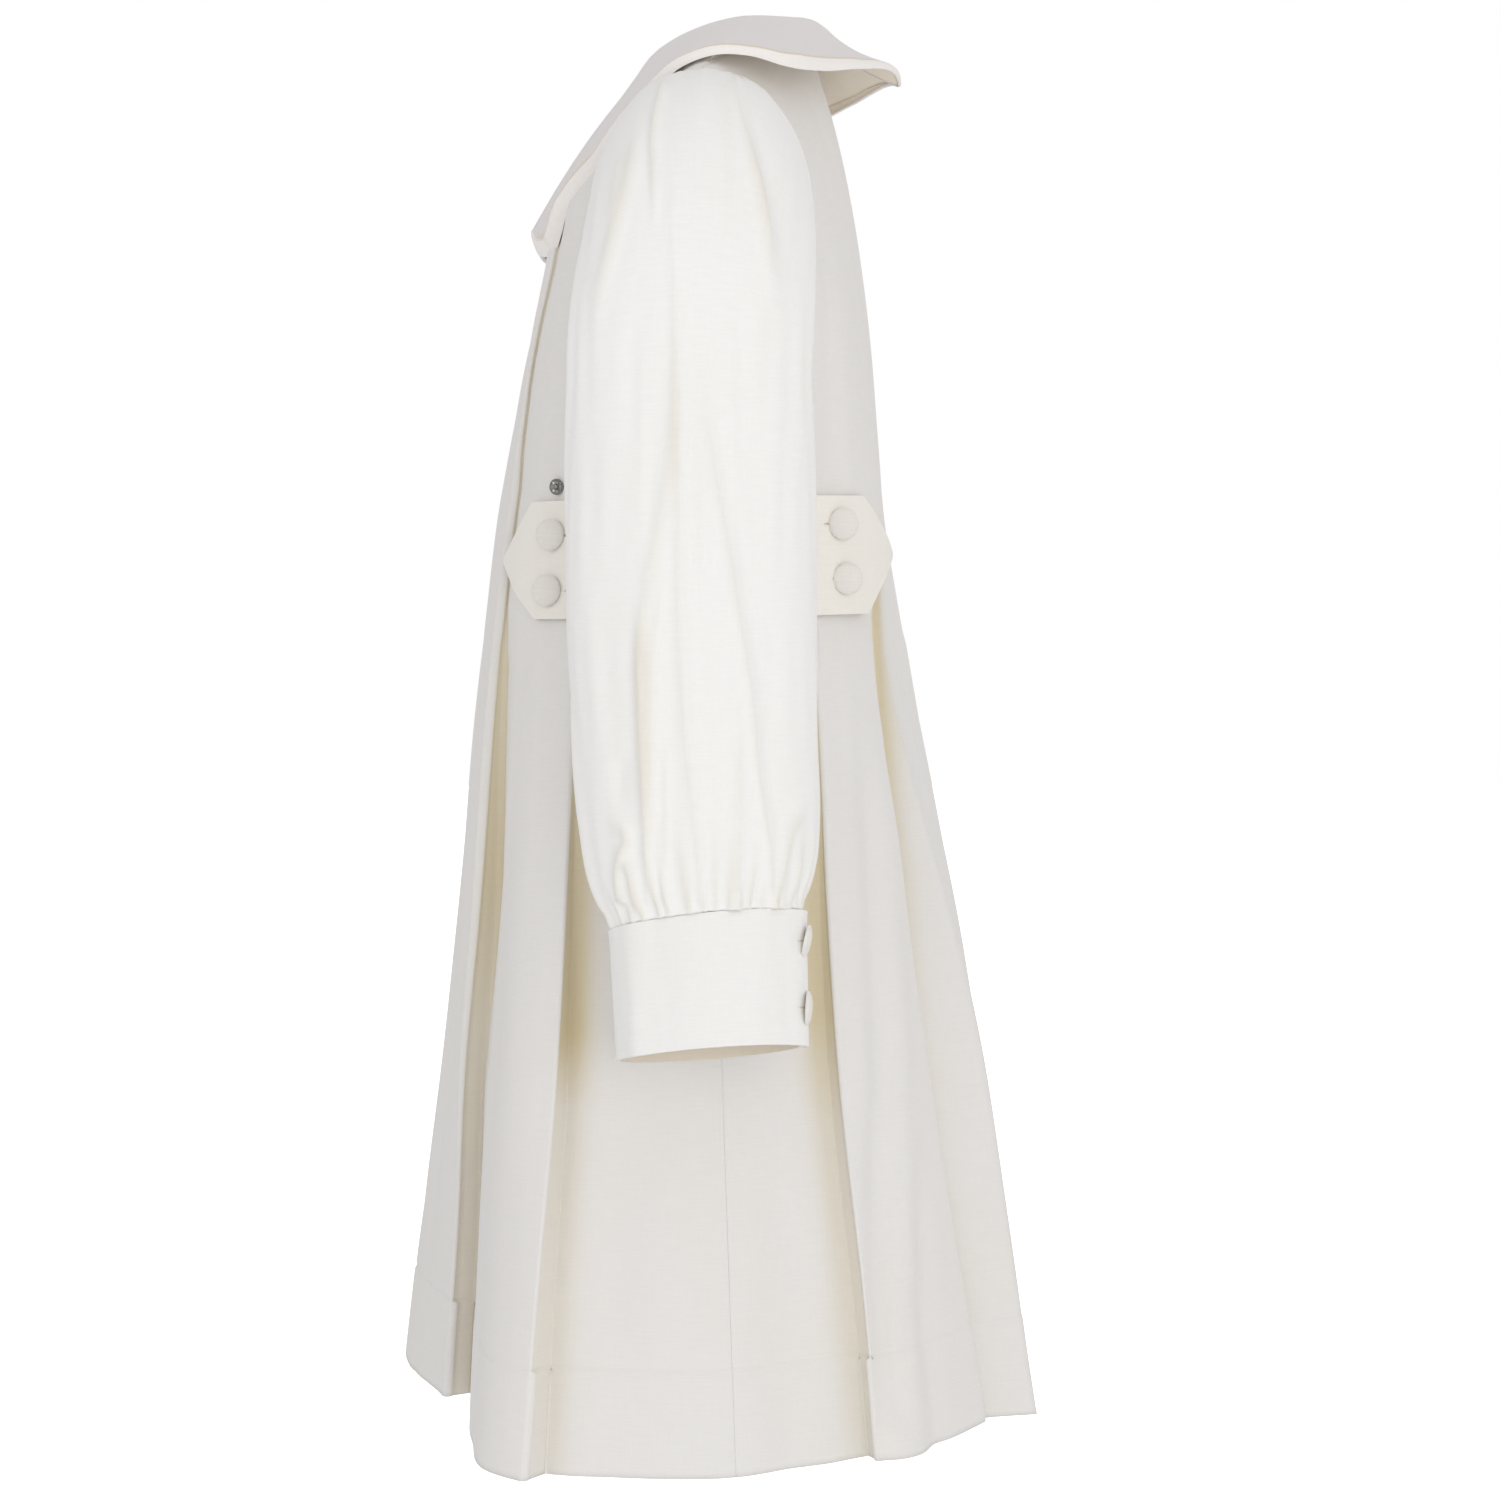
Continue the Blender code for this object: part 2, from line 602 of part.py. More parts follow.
def cap_point(start, angle, share):
    """A point of the sleeve's cap, on the way from the armhole to the arm."""
    end = sleeve_ring(SLEEVE_RINGS[0], angle)
    out = Vector((1.0, 0.0, CAP_FALL + CAP_TOP_RISE * math.cos(angle))).normalized()
    reach = (end - start).length
    point = bezier(start + out * CAP_STAND, start + out * reach * CAP_PULL,
                   end + Vector((0.0, 0.0, reach * CAP_ARM_PULL)), end, share)
    if share == 0.0:
        return point
    away = Vector((math.cos(angle) * share, -math.sin(angle), math.cos(angle) * (1.0 - share)))
    near_top = math.exp(-8.0 * math.sin(angle / 2) ** 2)
    ripple = CAP_GATHER_DEPTH * math.cos(CAP_GATHERS * angle) * near_top * (1.0 - share) ** 2
    press = fold_depth(angle, point.z) * min(share / CAP_PLAIN_SHARE, 1.0)
    return point + away.normalized() * (ripple - press)


def sleeve_grid():
    """Rows of points of the left sleeve, from the armhole down to the cuff."""
    angles = [2 * math.pi * column / SLEEVE_COLUMNS for column in range(SLEEVE_COLUMNS)]
    starts = armhole_points()
    rows = [[cap_point(start, angle, share) for start, angle in zip(starts, angles)]
            for share in CAP_ROWS]
    for ring in SLEEVE_RINGS:
        row = []
        for angle in angles:
            gather = ring[6] * math.cos(CUFF_GATHERS * angle)
            row.append(sleeve_ring(ring, angle, gather - fold_depth(angle, ring[0])))
        rows.append(row)
    return rows


def cuff_seam_ring(angle):
    return sleeve_ring(SLEEVE_RINGS[-1], angle)


def cuff_foot_ring(angle):
    z = SLEEVE_RINGS[-1][0] - CUFF_DEPTH
    row = (z, *CUFF_FOOT_CENTRE, *CUFF_FOOT_HALF, CUFF_FOOT_SLOPE, 0.0)
    return sleeve_ring(row, angle)


def cuff_point(turn_degrees, share, lift=0.0):
    """A point on the cuff, round from its lap and down from its seam, and its outward way."""
    angle = math.radians(turn_degrees)
    top = cuff_seam_ring(angle) - Vector((0.0, 0.0, SEAM_GAP))
    point = top.lerp(cuff_foot_ring(angle), share)
    outward = Vector((math.cos(angle) / CUFF_FOOT_HALF[0], -math.sin(angle) / CUFF_FOOT_HALF[1], 0.0))
    outward.normalize()
    return point + outward * lift, outward


def cuff_grid():
    """Rows of points of the left cuff, from its seam down. It laps over itself at the back."""
    rows = []
    sweep = 360.0 + CUFF_LAP
    for row in range(CUFF_ROWS):
        share = row / (CUFF_ROWS - 1)
        points = []
        for column in range(CUFF_COLUMNS + 1):
            turned = sweep * column / CUFF_COLUMNS
            lapped = 2.0 - turned / CUFF_LAP
            rise = CUFF_LAP_RISE * min(max(lapped, 0.0), 1.0)
            points.append(cuff_point(CUFF_LAP_START + turned, share, rise)[0])
        rows.append(points)
    return rows


def collar_base(point):
    """Where the collar is sewn to the neckline, below a point of its roll."""
    front = [mix(0.0, NECK_FRONT, step / BASE_STEPS) for step in range(BASE_STEPS + 1)]
    back = [mix(NECK_BACK, len(UPPER_EDGE) - 1, step / BASE_STEPS) for step in range(BASE_STEPS + 1)]
    edges = [upper_edge(place)[0] for place in front + back]
    return min(edges, key=lambda edge: (edge.xy - point.xy).length)


def collar_stand(roll, level):
    """From the seam up inside the neck and over the roll."""
    foot = collar_base(roll) + UP * COLLAR_SEAM_RISE - level * COLLAR_SEAM_RISE
    foot.x = max(foot.x, COLLAR_OUTER[0][0])
    radius = COLLAR_ROLL_RADIUS
    inner = roll - level * radius
    return [foot, foot.lerp(inner, 0.6) - level * radius * 0.1, inner - UP * radius * 0.45,
            roll - level * radius * 0.4 + UP * radius * 0.27,
            roll + level * radius * 0.5 + UP * radius * 0.18]


def collar_fall(roll, outer, level, swell):
    """From the roll out to the raised lip and the collar's edge."""
    fall = (outer - roll).normalized()
    lip = outer - fall * COLLAR_LIP + UP * COLLAR_LIP_DROP
    start = roll + level * COLLAR_ROLL_RADIUS * 1.4 - UP * COLLAR_ROLL_RADIUS * 0.36
    square = fall.cross(level).cross(fall).normalized()
    if square.z < 0:
        square.negate()
    points = []
    for row in range(COLLAR_FALL_ROWS + 1):
        part = row / (COLLAR_FALL_ROWS + 1)
        points.append(start.lerp(lip, part) + square * swell * math.sin(math.pi * part))
    turn = lip.lerp(outer, 0.55) + level * COLLAR_LIP_ROUND + UP * COLLAR_LIP_ROUND * 0.55
    return points + [lip + level * COLLAR_LIP_ROUND * 0.36, turn, outer]


def collar_grid():
    """Rows of points of the collar's left half, from the neckline over the roll to its edge."""
    outer_points = [Vector(point) for point in COLLAR_OUTER]
    roll_points = [Vector(point) for point in COLLAR_ROLL]
    columns = []
    for column in range(COLLAR_COLUMNS, -1, -1):
        share = column / COLLAR_COLUMNS
        outer = along_string(outer_points, share)
        roll = along_string(roll_points, share)
        level = Vector((outer.x - roll.x, outer.y - roll.y, 0.0)).normalized()
        swell = through(COLLAR_SWELLS, share * (len(COLLAR_SWELLS) - 1))
        columns.append(collar_stand(roll, level) + collar_fall(roll, outer, level, swell))
    return [list(row) for row in zip(*columns)]


def panel_way(z):
    """The body's section at a height, from the front fold to the centre-back fold, as a fine
    string of (column, point)."""
    lines = lines_at(z)
    way = []
    for index in range(len(lines) - 1):
        for step in range(WAY_STEPS):
            column = (index, step / WAY_STEPS)
            way.append((column, section_point(lines, column)))
    return way


def tab_way():
    """The body's section under the tab: its columns from the front tip to the back tip, and
    the distance of each from the front tip."""
    middle = (TAB_TOP_Z + TAB_FOOT_Z) / 2
    way = panel_way(middle)
    front_start = next(i for i, (column, point) in enumerate(way)
                       if column[0] >= FIRST_OPEN_LINE and point.x >= TAB_START_X)
    back_end = next(i for i, (column, point) in enumerate(way)
                    if point.y > 0 and point.x <= TAB_END_X)
    kept = way[front_start:back_end + 1]
    return [column for column, _ in kept], chord_places([point for _, point in kept])


def tab_point(way, distance, height, out):
    """A point over the body on the tab, at a distance from its front tip and a height above its
    middle, moved out, and its outward way."""
    columns, places = way
    length = places[-1]
    share = distance / length
    index = 0
    while index < len(places) - 2 and places[index + 1] < distance:
        index += 1
    part = (distance - places[index]) / (places[index + 1] - places[index])
    number = mix(sum(columns[index]), sum(columns[index + 1]), part)
    middle = (TAB_TOP_Z + TAB_FOOT_Z) / 2 + TAB_BACK_RISE * share * share * (3 - 2 * share)
    from_back = length - distance
    lifted = TAB_TIP_LIFT * max(1.0 - from_back / TAB_POINT, 0.0) ** 2
    return on_body((int(number), number - int(number)), middle + height, out + lifted)


def tab_stations(length):
    """Distances along the tab at which it has a column."""
    middle = TAB_COLUMNS - 2 * TAB_POINT_COLUMNS
    run = length - 2 * TAB_POINT
    tip = [TAB_POINT * step / TAB_POINT_COLUMNS for step in range(TAB_POINT_COLUMNS)]
    between = [TAB_POINT + run * step / middle for step in range(middle + 1)]
    return tip + between + [length - station for station in reversed(tip)]


def on_body(column, z, out):
    """A point over the left half of the body, moved out by a distance, and its outward way."""
    index, share = column
    lines = lines_at(z)
    here = section_point(lines, column)
    number = index + share
    before = max(number - TANGENT_COLUMNS, float(FIRST_OPEN_LINE))
    after = number + TANGENT_COLUMNS
    back = section_point(lines, (int(before), before - int(before)))
    ahead = section_point(lines, (int(after), after - int(after)))
    above = section_point(lines_at(z + TANGENT_RISE), column)
    normal = (ahead - back).cross(above - here).normalized()
    return here + normal * out, normal


def tab_grid():
    """Rows of points of the left tab's outer face, foot first."""
    way = tab_way()
    length = way[1][-1]
    half = (TAB_TOP_Z - TAB_FOOT_Z) / 2
    rows = []
    for row in range(TAB_ROWS + 1):
        side = 2 * row / TAB_ROWS - 1
        points = []
        for distance in tab_stations(length):
            from_front = min(distance / TAB_POINT, 1.0)
            from_back = min((length - distance) / TAB_POINT, 1.0)
            height = mix(TAB_TIP_HALF, half, min(from_front, from_back))
            lean = TAB_FRONT_LEAN * from_front * (1.0 - distance / length)
            lean += TAB_BACK_LEAN * from_back * distance / length
            leaning = distance + lean * max(-side, 0.0)
            points.append(tab_point(way, leaning, side * height, TAB_CLOTH + TAB_STAND)[0])
        rows.append(points)
    return rows


def button_mesh(radius, thickness):
    """A domed cloth-covered button, turned about its own Z axis, its flat back at zero."""
    profile = [(0.0, thickness), (0.66 * radius, 0.82 * thickness), (radius, 0.32 * thickness),
               (0.92 * radius, 0.0), (0.0, 0.0)]
    return turned_mesh("button", profile, BUTTON_SIDES)


def turned_mesh(name, profile, sides):
    """A closed solid turned from a profile of (radius, height), top first."""
    mesh = bpy.data.meshes.new(name)
    bm = bmesh.new()
    rings = []
    for radius, height in profile:
        if radius == 0.0:
            rings.append([bm.verts.new((0.0, 0.0, height))])
            continue
        ring = []
        for side in range(sides):
            angle = 2 * math.pi * side / sides
            ring.append(bm.verts.new((radius * math.cos(angle), radius * math.sin(angle), height)))
        rings.append(ring)
    for upper, lower in zip(rings, rings[1:]):
        for side in range(sides):
            following = (side + 1) % sides
            corners = [upper[side % len(upper)], lower[side % len(lower)],
                       lower[following % len(lower)], upper[following % len(upper)]]
            bm.faces.new(list(dict.fromkeys(corners)))
    bmesh.ops.recalc_face_normals(bm, faces=bm.faces)
    bm.to_mesh(mesh)
    bm.free()
    mesh.shade_smooth()
    return mesh


def place_disc(piece, place, outward, side):
    """Put a disc on a surface, on the wearer's left (1) or right (-1)."""
    place = Vector((place.x * side, place.y, place.z))
    outward = Vector((outward.x * side, outward.y, outward.z))
    piece.location = place
    piece.rotation_euler = outward.to_track_quat("Z", "Y").to_euler()


def make_tab_buttons(finish, collection, mesh):
    way = tab_way()
    length = way[1][-1]
    for end, distance in (("front", TAB_BUTTON_FRONT), ("back", length - TAB_BUTTON_BACK)):
        for level, rise in zip(("upper", "lower"), TAB_BUTTON_HEIGHTS):
            place, outward = tab_point(way, distance, rise, TAB_CLOTH + TAB_STAND + TAB_BUTTON_SEAT)
            for word, side in (("left", 1), ("right", -1)):
                button = add_object(f"tab_button_{end}_{level}_{word}", mesh, finish, collection)
                place_disc(button, place, outward, side)


def make_cuff_buttons(finish, collection, mesh):
    for level, share in zip(("upper", "lower"), CUFF_BUTTON_SHARES):
        place, outward = cuff_point(CUFF_BUTTON_ANGLE, share, CUFF_LAP_RISE + CUFF_BUTTON_SEAT)
        for word, side in (("left", 1), ("right", -1)):
            button = add_object(f"cuff_button_{level}_{word}", mesh, finish, collection)
            place_disc(button, place, outward, side)


def make_stud(finish, collection):
    """The half of a press stud that is sewn on above the front end of the left tab."""
    profile = [(0.0, STUD_HUB_THICKNESS), (STUD_HUB_RADIUS, STUD_HUB_THICKNESS),
               (STUD_HUB_RADIUS * 1.2, STUD_THICKNESS), (STUD_RADIUS * 0.85, STUD_THICKNESS),
               (STUD_RADIUS, STUD_THICKNESS * 0.5), (STUD_RADIUS * 0.9, 0.0), (0.0, 0.0)]
    mesh = turned_mesh("press_stud", profile, BUTTON_SIDES)
    way = panel_way(STUD_HEIGHT)
    column = next(column for column, point in way if column[0] > FIRST_OPEN_LINE and point.x >= STUD_X)
    place, outward = on_body(column, STUD_HEIGHT, STUD_SEAT)
    stud = add_object("press_stud", mesh, finish, collection)
    place_disc(stud, place, outward, 1)


def make_pair(name, rows, closed, thickness, finish, collection):
    """A left piece and its mirror image."""
    for word, grid, flip in (("left", rows, False), ("right", mirrored(rows), True)):
        mesh = grid_mesh(f"{name}_{word}", grid, closed=closed, flip=flip)
        piece = add_object(f"{name}_{word}", mesh, finish, collection)
        thicken(piece, thickness)


def main():
    clear_scene()
    collection = bpy.data.collections.new(COLLECTION_NAME)
    bpy.context.scene.collection.children.link(collection)
    wool = {name: material(f"{name} wool", COLOURS["wool"], 0.9)
            for name in ("front", "back", "sleeve", "cuff", "collar")}
    tab_wool = material("tab wool", COLOURS["tab_wool"], 0.9)
    button_wool = material("button wool", COLOURS["tab_wool"], 0.85)
    stud_metal = material("press stud metal", COLOURS["metal"], 0.35, 1.0)
    front, back = cut_panels()
    make_panel("front", front, wool["front"], collection)
    make_panel("back", back, wool["back"], collection)
    make_pair("sleeve", sleeve_grid(), True, CLOTH, wool["sleeve"], collection)
    make_pair("cuff", cuff_grid(), False, CUFF_CLOTH, wool["cuff"], collection)
    make_pair("collar", collar_grid(), False, COLLAR_CLOTH, wool["collar"], collection)
    make_pair("side_tab", tab_grid(), False, TAB_CLOTH, tab_wool, collection)
    button = button_mesh(BUTTON_RADIUS, BUTTON_THICKNESS)
    make_tab_buttons(button_wool, collection, button)
    make_cuff_buttons(button_wool, collection, button)
    make_stud(stud_metal, collection)


main()
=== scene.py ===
import math

import bmesh
import bpy
import numpy as np
from mathutils import Matrix, Vector


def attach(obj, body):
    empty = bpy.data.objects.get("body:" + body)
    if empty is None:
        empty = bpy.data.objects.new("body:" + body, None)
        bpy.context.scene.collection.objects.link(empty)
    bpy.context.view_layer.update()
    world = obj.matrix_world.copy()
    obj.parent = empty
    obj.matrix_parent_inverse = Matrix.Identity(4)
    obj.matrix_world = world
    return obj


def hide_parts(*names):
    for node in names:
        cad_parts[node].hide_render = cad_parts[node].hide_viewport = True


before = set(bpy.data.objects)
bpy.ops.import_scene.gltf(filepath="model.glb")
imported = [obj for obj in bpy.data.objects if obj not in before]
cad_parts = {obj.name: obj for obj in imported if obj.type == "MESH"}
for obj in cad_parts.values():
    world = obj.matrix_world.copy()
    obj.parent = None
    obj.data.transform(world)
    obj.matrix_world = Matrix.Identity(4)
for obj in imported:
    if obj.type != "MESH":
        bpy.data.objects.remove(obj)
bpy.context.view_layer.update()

BODY = "root"

# Cloth thicknesses, in metres
CLOTH = 0.0012
HEM_CLOTH = 0.0026
COLLAR_CLOTH = 0.003
CUFF_CLOTH = 0.0024
TAB_CLOTH = 0.0024
SEAM_GAP = 0.0003

# Heights on the body
CHEST_Z = -0.235
TAB_TOP_Z = -0.31
TAB_FOOT_Z = -0.387
THIGH_Z = -0.62
HEM_Z = -0.907
HEM_DEPTH = 0.064
HEM_STITCH_Z = HEM_Z + HEM_DEPTH
TAB_MIDDLE_Z = (TAB_TOP_Z + TAB_FOOT_Z) / 2
LEVELS = np.array((CHEST_Z, TAB_TOP_Z, TAB_FOOT_Z, THIGH_Z, HEM_Z))
SIDES = (("left", 1), ("right", -1))

# Lines down the cloth from the centre front round the left side to the centre back: name, place
# of the top along the upper edge, creased or not, and (x, y) at each of the levels.
BODY_LINES = (
    ("centre front", 0.0, False,
     (0.0, -0.159), (0.0, -0.174), (0.0, -0.1835), (0.0, -0.206), (0.0, -0.2425)),
    ("front fold", 1.7, True,
     (0.0573, -0.1483), (0.066, -0.1601), (0.075, -0.1683), (0.095, -0.1877), (0.115, -0.2055)),
    ("beside front fold", 2.0, True,
     (0.0578, -0.1439), (0.0665, -0.1557), (0.0755, -0.1639), (0.09, -0.174), (0.107, -0.186)),
    ("front corner", 2.3, False,
     (0.102, -0.1347), (0.112, -0.142), (0.118, -0.152), (0.16, -0.1655), (0.224, -0.176)),
    ("front round", 2.7, False,
     (0.1355, -0.12), (0.139, -0.124), (0.146, -0.133), (0.215, -0.147), (0.29, -0.1615)),
    ("side-front fold", 3.0, True,
     (0.159, -0.101), (0.158, -0.105), (0.163, -0.112), (0.24, -0.12), (0.313, -0.14)),
    ("beside side-front fold", 4.0, True,
     (0.165, -0.094), (0.163, -0.098), (0.168, -0.104), (0.232, -0.107), (0.3025, -0.12)),
    ("side front", 6.2, False,
     (0.186, -0.063), (0.179, -0.063), (0.183, -0.064), (0.246, -0.062), (0.308, -0.06)),
    ("side seam", 8.0, False,
     (0.1945, -0.032), (0.186, -0.03), (0.19, -0.027), (0.247, -0.019), (0.3045, -0.0085)),
    ("side back", 9.4, False,
     (0.19, 0.006), (0.184, 0.005), (0.187, 0.008), (0.243, 0.012), (0.285, 0.028)),
    ("beside side-back fold", 10.8, True,
     (0.179, 0.03), (0.175, 0.034), (0.177, 0.036), (0.236, 0.04), (0.262, 0.068)),
    ("side-back fold", 12.2, True,
     (0.174, 0.037), (0.171, 0.041), (0.172, 0.044), (0.24, 0.054), (0.273, 0.084)),
    ("back round", 14.0, False,
     (0.152, 0.058), (0.15, 0.062), (0.15, 0.064), (0.222, 0.074), (0.2565, 0.1045)),
    ("back corner", 14.35, False,
     (0.128, 0.071), (0.128, 0.0765), (0.132, 0.0755), (0.195, 0.092), (0.2286, 0.122)),
    ("back-panel fold", 14.7, True,
     (0.1, 0.079), (0.108, 0.085), (0.113, 0.0838), (0.165, 0.108), (0.178, 0.153)),
    ("beside back-panel fold", 14.8, True,
     (0.094, 0.0805), (0.102, 0.0865), (0.107, 0.0852), (0.1595, 0.1045), (0.1705, 0.145)),
    ("centre-back fold", 15.0, True,
     (0.084, 0.082), (0.092, 0.088), (0.098, 0.0875), (0.12, 0.143), (0.161, 0.189)),
    ("centre back", 17.0, False,
     (0.0, 0.0865), (0.0, 0.092), (0.0, 0.1045), (0.0, 0.149), (0.0, 0.193)),
)

# The pleats: fold, the line that comes out from under it, the line on the panel that covers it,
# and how far it is folded at each of the levels.
PLEATS = (
    ("front fold", "beside front fold", "centre front", (1.0, 1.0, 1.0, 1.0, 1.0)),
    ("side-front fold", "beside side-front fold", "front round", (0.0, 0.0, 0.0, 1.0, 1.0)),
    ("side-back fold", "beside side-back fold", "back round", (0.0, 0.0, 0.0, 1.0, 1.0)),
    ("back-panel fold", "beside back-panel fold", "back corner", (0.0, 0.0, 0.0, 1.0, 1.0)),
)
UNDERLAPS = {"front fold": 0.0016, "side-front fold": 0.01, "side-back fold": 0.01,
             "back-panel fold": 0.01}
PLEAT_GAP = 0.0007
FOLD_ROUND = 0.75

# The panels' upper edge from the centre front over the shoulder, round the armhole and back over
# the shoulder to the centre back: a corner or not, the place, the way the panel leaves it.
UPPER_EDGE = (
    (True, (0.0, -0.056, -0.012), (0.0, -0.8, -0.6)),
    (False, (0.052, -0.04, -0.006), (0.0, -0.9, -0.4)),
    (True, (0.072, -0.005, 0.0), (0.0, -1.0, 0.0)),
    (True, (0.186, -0.03, -0.037), (-0.6, -1.0, 0.0)),
    (False, (0.18, -0.057, -0.042), (-0.75, -0.7, -0.35)),
    (False, (0.17, -0.097, -0.094), (-0.5, -0.5, -0.8)),
    (False, (0.172, -0.101, -0.15), (-0.4, -0.2, -1.0)),
    (False, (0.186, -0.075, -0.195), (-0.2, -0.1, -1.0)),
    (False, (0.1965, -0.033, -0.2135), (0.0, 0.0, -1.0)),
    (False, (0.188, 0.01, -0.198), (-0.1, 0.1, -1.0)),
    (False, (0.178, 0.038, -0.158), (-0.3, 0.2, -1.0)),
    (False, (0.177, 0.0395, -0.112), (-0.5, 0.3, -1.0)),
    (False, (0.181, 0.026, -0.072), (-0.6, 0.6, -0.7)),
    (False, (0.184, -0.002, -0.043), (-0.6, 0.9, -0.3)),
    (True, (0.186, -0.03, -0.037), (-0.6, 1.0, 0.0)),
    (True, (0.072, -0.005, 0.0), (0.0, 1.0, 0.0)),
    (False, (0.046, 0.03, 0.003), (0.0, 0.6, -0.8)),
    (True, (0.0, 0.042, 0.004), (0.0, 0.37, -1.0)),
)
SHOULDER_FRONT = 3
UNDERARM = 8
SHOULDER_BACK = 14
NECK_FRONT = 2
NECK_BACK = 15
YOKE_PULL = 0.38
YOKE_EDGE_PULL = 0.2
SHOULDER_LEAN = 0.0003

# Columns of faces between one line and the next, undersides and roots included
FRONT_COLUMNS = (16, 6, 4, 4, 16, 12, 7, 6, 4, 6, 14, 13)
BACK_COLUMNS = (13, 14, 6, 4, 6, 8, 7, 8, 6, 4, 4, 10, 17)
CLOSE_SHARES = (0.9, 0.94, 0.965, 0.98, 0.99, 0.995)
HEM_ROWS = 15
STITCH_STEP = 0.0015
SKIRT_ROWS = 134
YOKE_ROWS = 54
CLOSE_RISES = (0.985, 0.993, 0.9975)

# Pleats whose cloth comes out softly from under the fold: the columns' line numbers between which
# the section is rounded off, and how often it is evened.
FRONT_SOFT = ((8, 11, 26),)
BACK_SOFT = ((13, 16, 26), (21, 24, 14))

# Creases of the front and back, given as seen from the side: kind, depth, half width, full at its
# start, full at its end, and (y, z) of its line.
SIDE_CREASES = (
    ("ridge", 0.0016, 0.0045, False, False,
     (-0.1262, -0.19), (-0.1311, -0.234), (-0.1358, -0.271), (-0.1392, -0.301), (-0.15, -0.374),
     (-0.1527, -0.404), (-0.1568, -0.441), (-0.1596, -0.5)),
    ("valley", 0.006, 0.008, False, True,
     (0.067, -0.392), (0.0735, -0.445), (0.078, -0.5), (0.08, -0.56), (0.0829, -0.653),
     (0.0874, -0.734), (0.094, -0.88)),
    ("ridge", 0.0032, 0.007, False, True,
     (0.0855, -0.45), (0.0905, -0.52), (0.096, -0.64), (0.101, -0.8)),
    ("valley", 0.0018, 0.0055, False, True, (0.048, -0.12), (0.0506, -0.2), (0.052, -0.303)),
    ("ridge", 0.001, 0.005, False, True, (0.059, -0.15), (0.062, -0.23), (0.064, -0.303)),
    ("valley", 0.0013, 0.006, True, False, (0.0566, -0.392), (0.0593, -0.45), (0.0633, -0.54)),
    ("valley", 0.0016, 0.006, True, False, (-0.129, -0.392), (-0.13, -0.45), (-0.131, -0.54)),
    ("ridge", 0.001, 0.007, False, True, (-0.1255, -0.48), (-0.1373, -0.703), (-0.148, -0.9)),
    ("valley", 0.0014, 0.008, False, True, (-0.112, -0.64), (-0.118, -0.76), (-0.124, -0.9)),
    ("valley", 0.0012, 0.014, False, True, (-0.077, -0.6), (-0.083, -0.74), (-0.09, -0.905)),
    ("ridge", 0.001, 0.013, False, True, (-0.047, -0.56), (-0.049, -0.74), (-0.056, -0.905)),
    ("valley", 0.0011, 0.012, False, True, (0.013, -0.6), (0.017, -0.74), (0.025, -0.905)),
    ("ridge", 0.0009, 0.01, False, True, (0.04, -0.62), (0.044, -0.76), (0.05, -0.905)),
    ("valley", 0.0012, 0.005, False, False, (-0.088, -0.175), (-0.101, -0.235), (-0.108, -0.3)),
    ("valley", 0.0052, 0.0075, False, True, (0.079, -0.66), (0.08, -0.79), (0.083, -0.905)),
    ("valley", 0.004, 0.0065, False, True, (0.108, -0.72), (0.113, -0.83), (0.118, -0.905)),
    ("valley", 0.001, 0.0022, False, False, (0.085, -0.825), (0.086, -0.843), (0.085, -0.868)),
    ("valley", 0.001, 0.0022, False, False, (0.0925, -0.822), (0.092, -0.842), (0.094, -0.866)),
    ("valley", 0.001, 0.0022, False, False, (0.1, -0.824), (0.101, -0.841), (0.1, -0.87)),
    ("valley", 0.001, 0.0022, False, False, (0.112, -0.82), (0.111, -0.84), (0.113, -0.864)),
)

# The same, given as seen from the front, (x, z), and from the back
FRONT_CREASES = (
    ("valley", 0.0014, 0.01, False, True, (0.03, -0.26), (0.036, -0.52), (0.052, -0.9)),
    ("valley", 0.0012, 0.009, False, True, (-0.026, -0.33), (-0.033, -0.6), (-0.043, -0.9)),
    ("ridge", 0.001, 0.011, False, True, (0.004, -0.3), (0.0, -0.62), (0.006, -0.9)),
    ("valley", 0.001, 0.007, True, False, (0.02, -0.13), (0.033, -0.2), (0.042, -0.29)),
    ("valley", 0.001, 0.007, True, False, (-0.018, -0.13), (-0.03, -0.205), (-0.04, -0.28)),
    ("ridge", 0.0012, 0.01, False, True, (0.076, -0.48), (0.083, -0.7), (0.09, -0.9)),
    ("ridge", 0.0012, 0.01, False, True, (-0.074, -0.52), (-0.082, -0.7), (-0.09, -0.9)),
)
BACK_CREASES = (
    ("valley", 0.0014, 0.011, False, True, (0.042, -0.3), (0.048, -0.56), (0.08, -0.9)),
    ("valley", 0.0014, 0.011, False, True, (-0.038, -0.34), (-0.046, -0.6), (-0.076, -0.9)),
    ("ridge", 0.0012, 0.012, False, True, (0.008, -0.38), (0.004, -0.64), (0.008, -0.9)),
    ("valley", 0.001, 0.008, True, False, (0.056, -0.07), (0.066, -0.15), (0.07, -0.24)),
    ("valley", 0.001, 0.008, True, False, (-0.054, -0.07), (-0.068, -0.16), (-0.072, -0.25)),
)

# Rings of the left sleeve below the cap
SLEEVE_RINGS = np.array((
    # z, centre x, centre y, half depth, half breadth, slope
    (-0.235, 0.25, -0.036, 0.046, 0.0742, 0.0),
    (-0.3, 0.252, -0.0365, 0.052, 0.076, 0.0),
    (-0.38, 0.26, -0.0363, 0.056, 0.0765, 0.02),
    (-0.46, 0.274, -0.0327, 0.058, 0.0742, 0.08),
    (-0.51, 0.284, -0.0298, 0.057, 0.0722, 0.14),
    (-0.535, 0.291, -0.0288, 0.054, 0.0695, 0.2),
    (-0.553, 0.298, -0.028, 0.047, 0.064, 0.24),
    (-0.566, 0.304, -0.0268, 0.039, 0.0565, 0.25),
))
SLEEVE_COLUMNS = 236
SLEEVE_CROWDING = 0.45
CAP_STEPS = 70
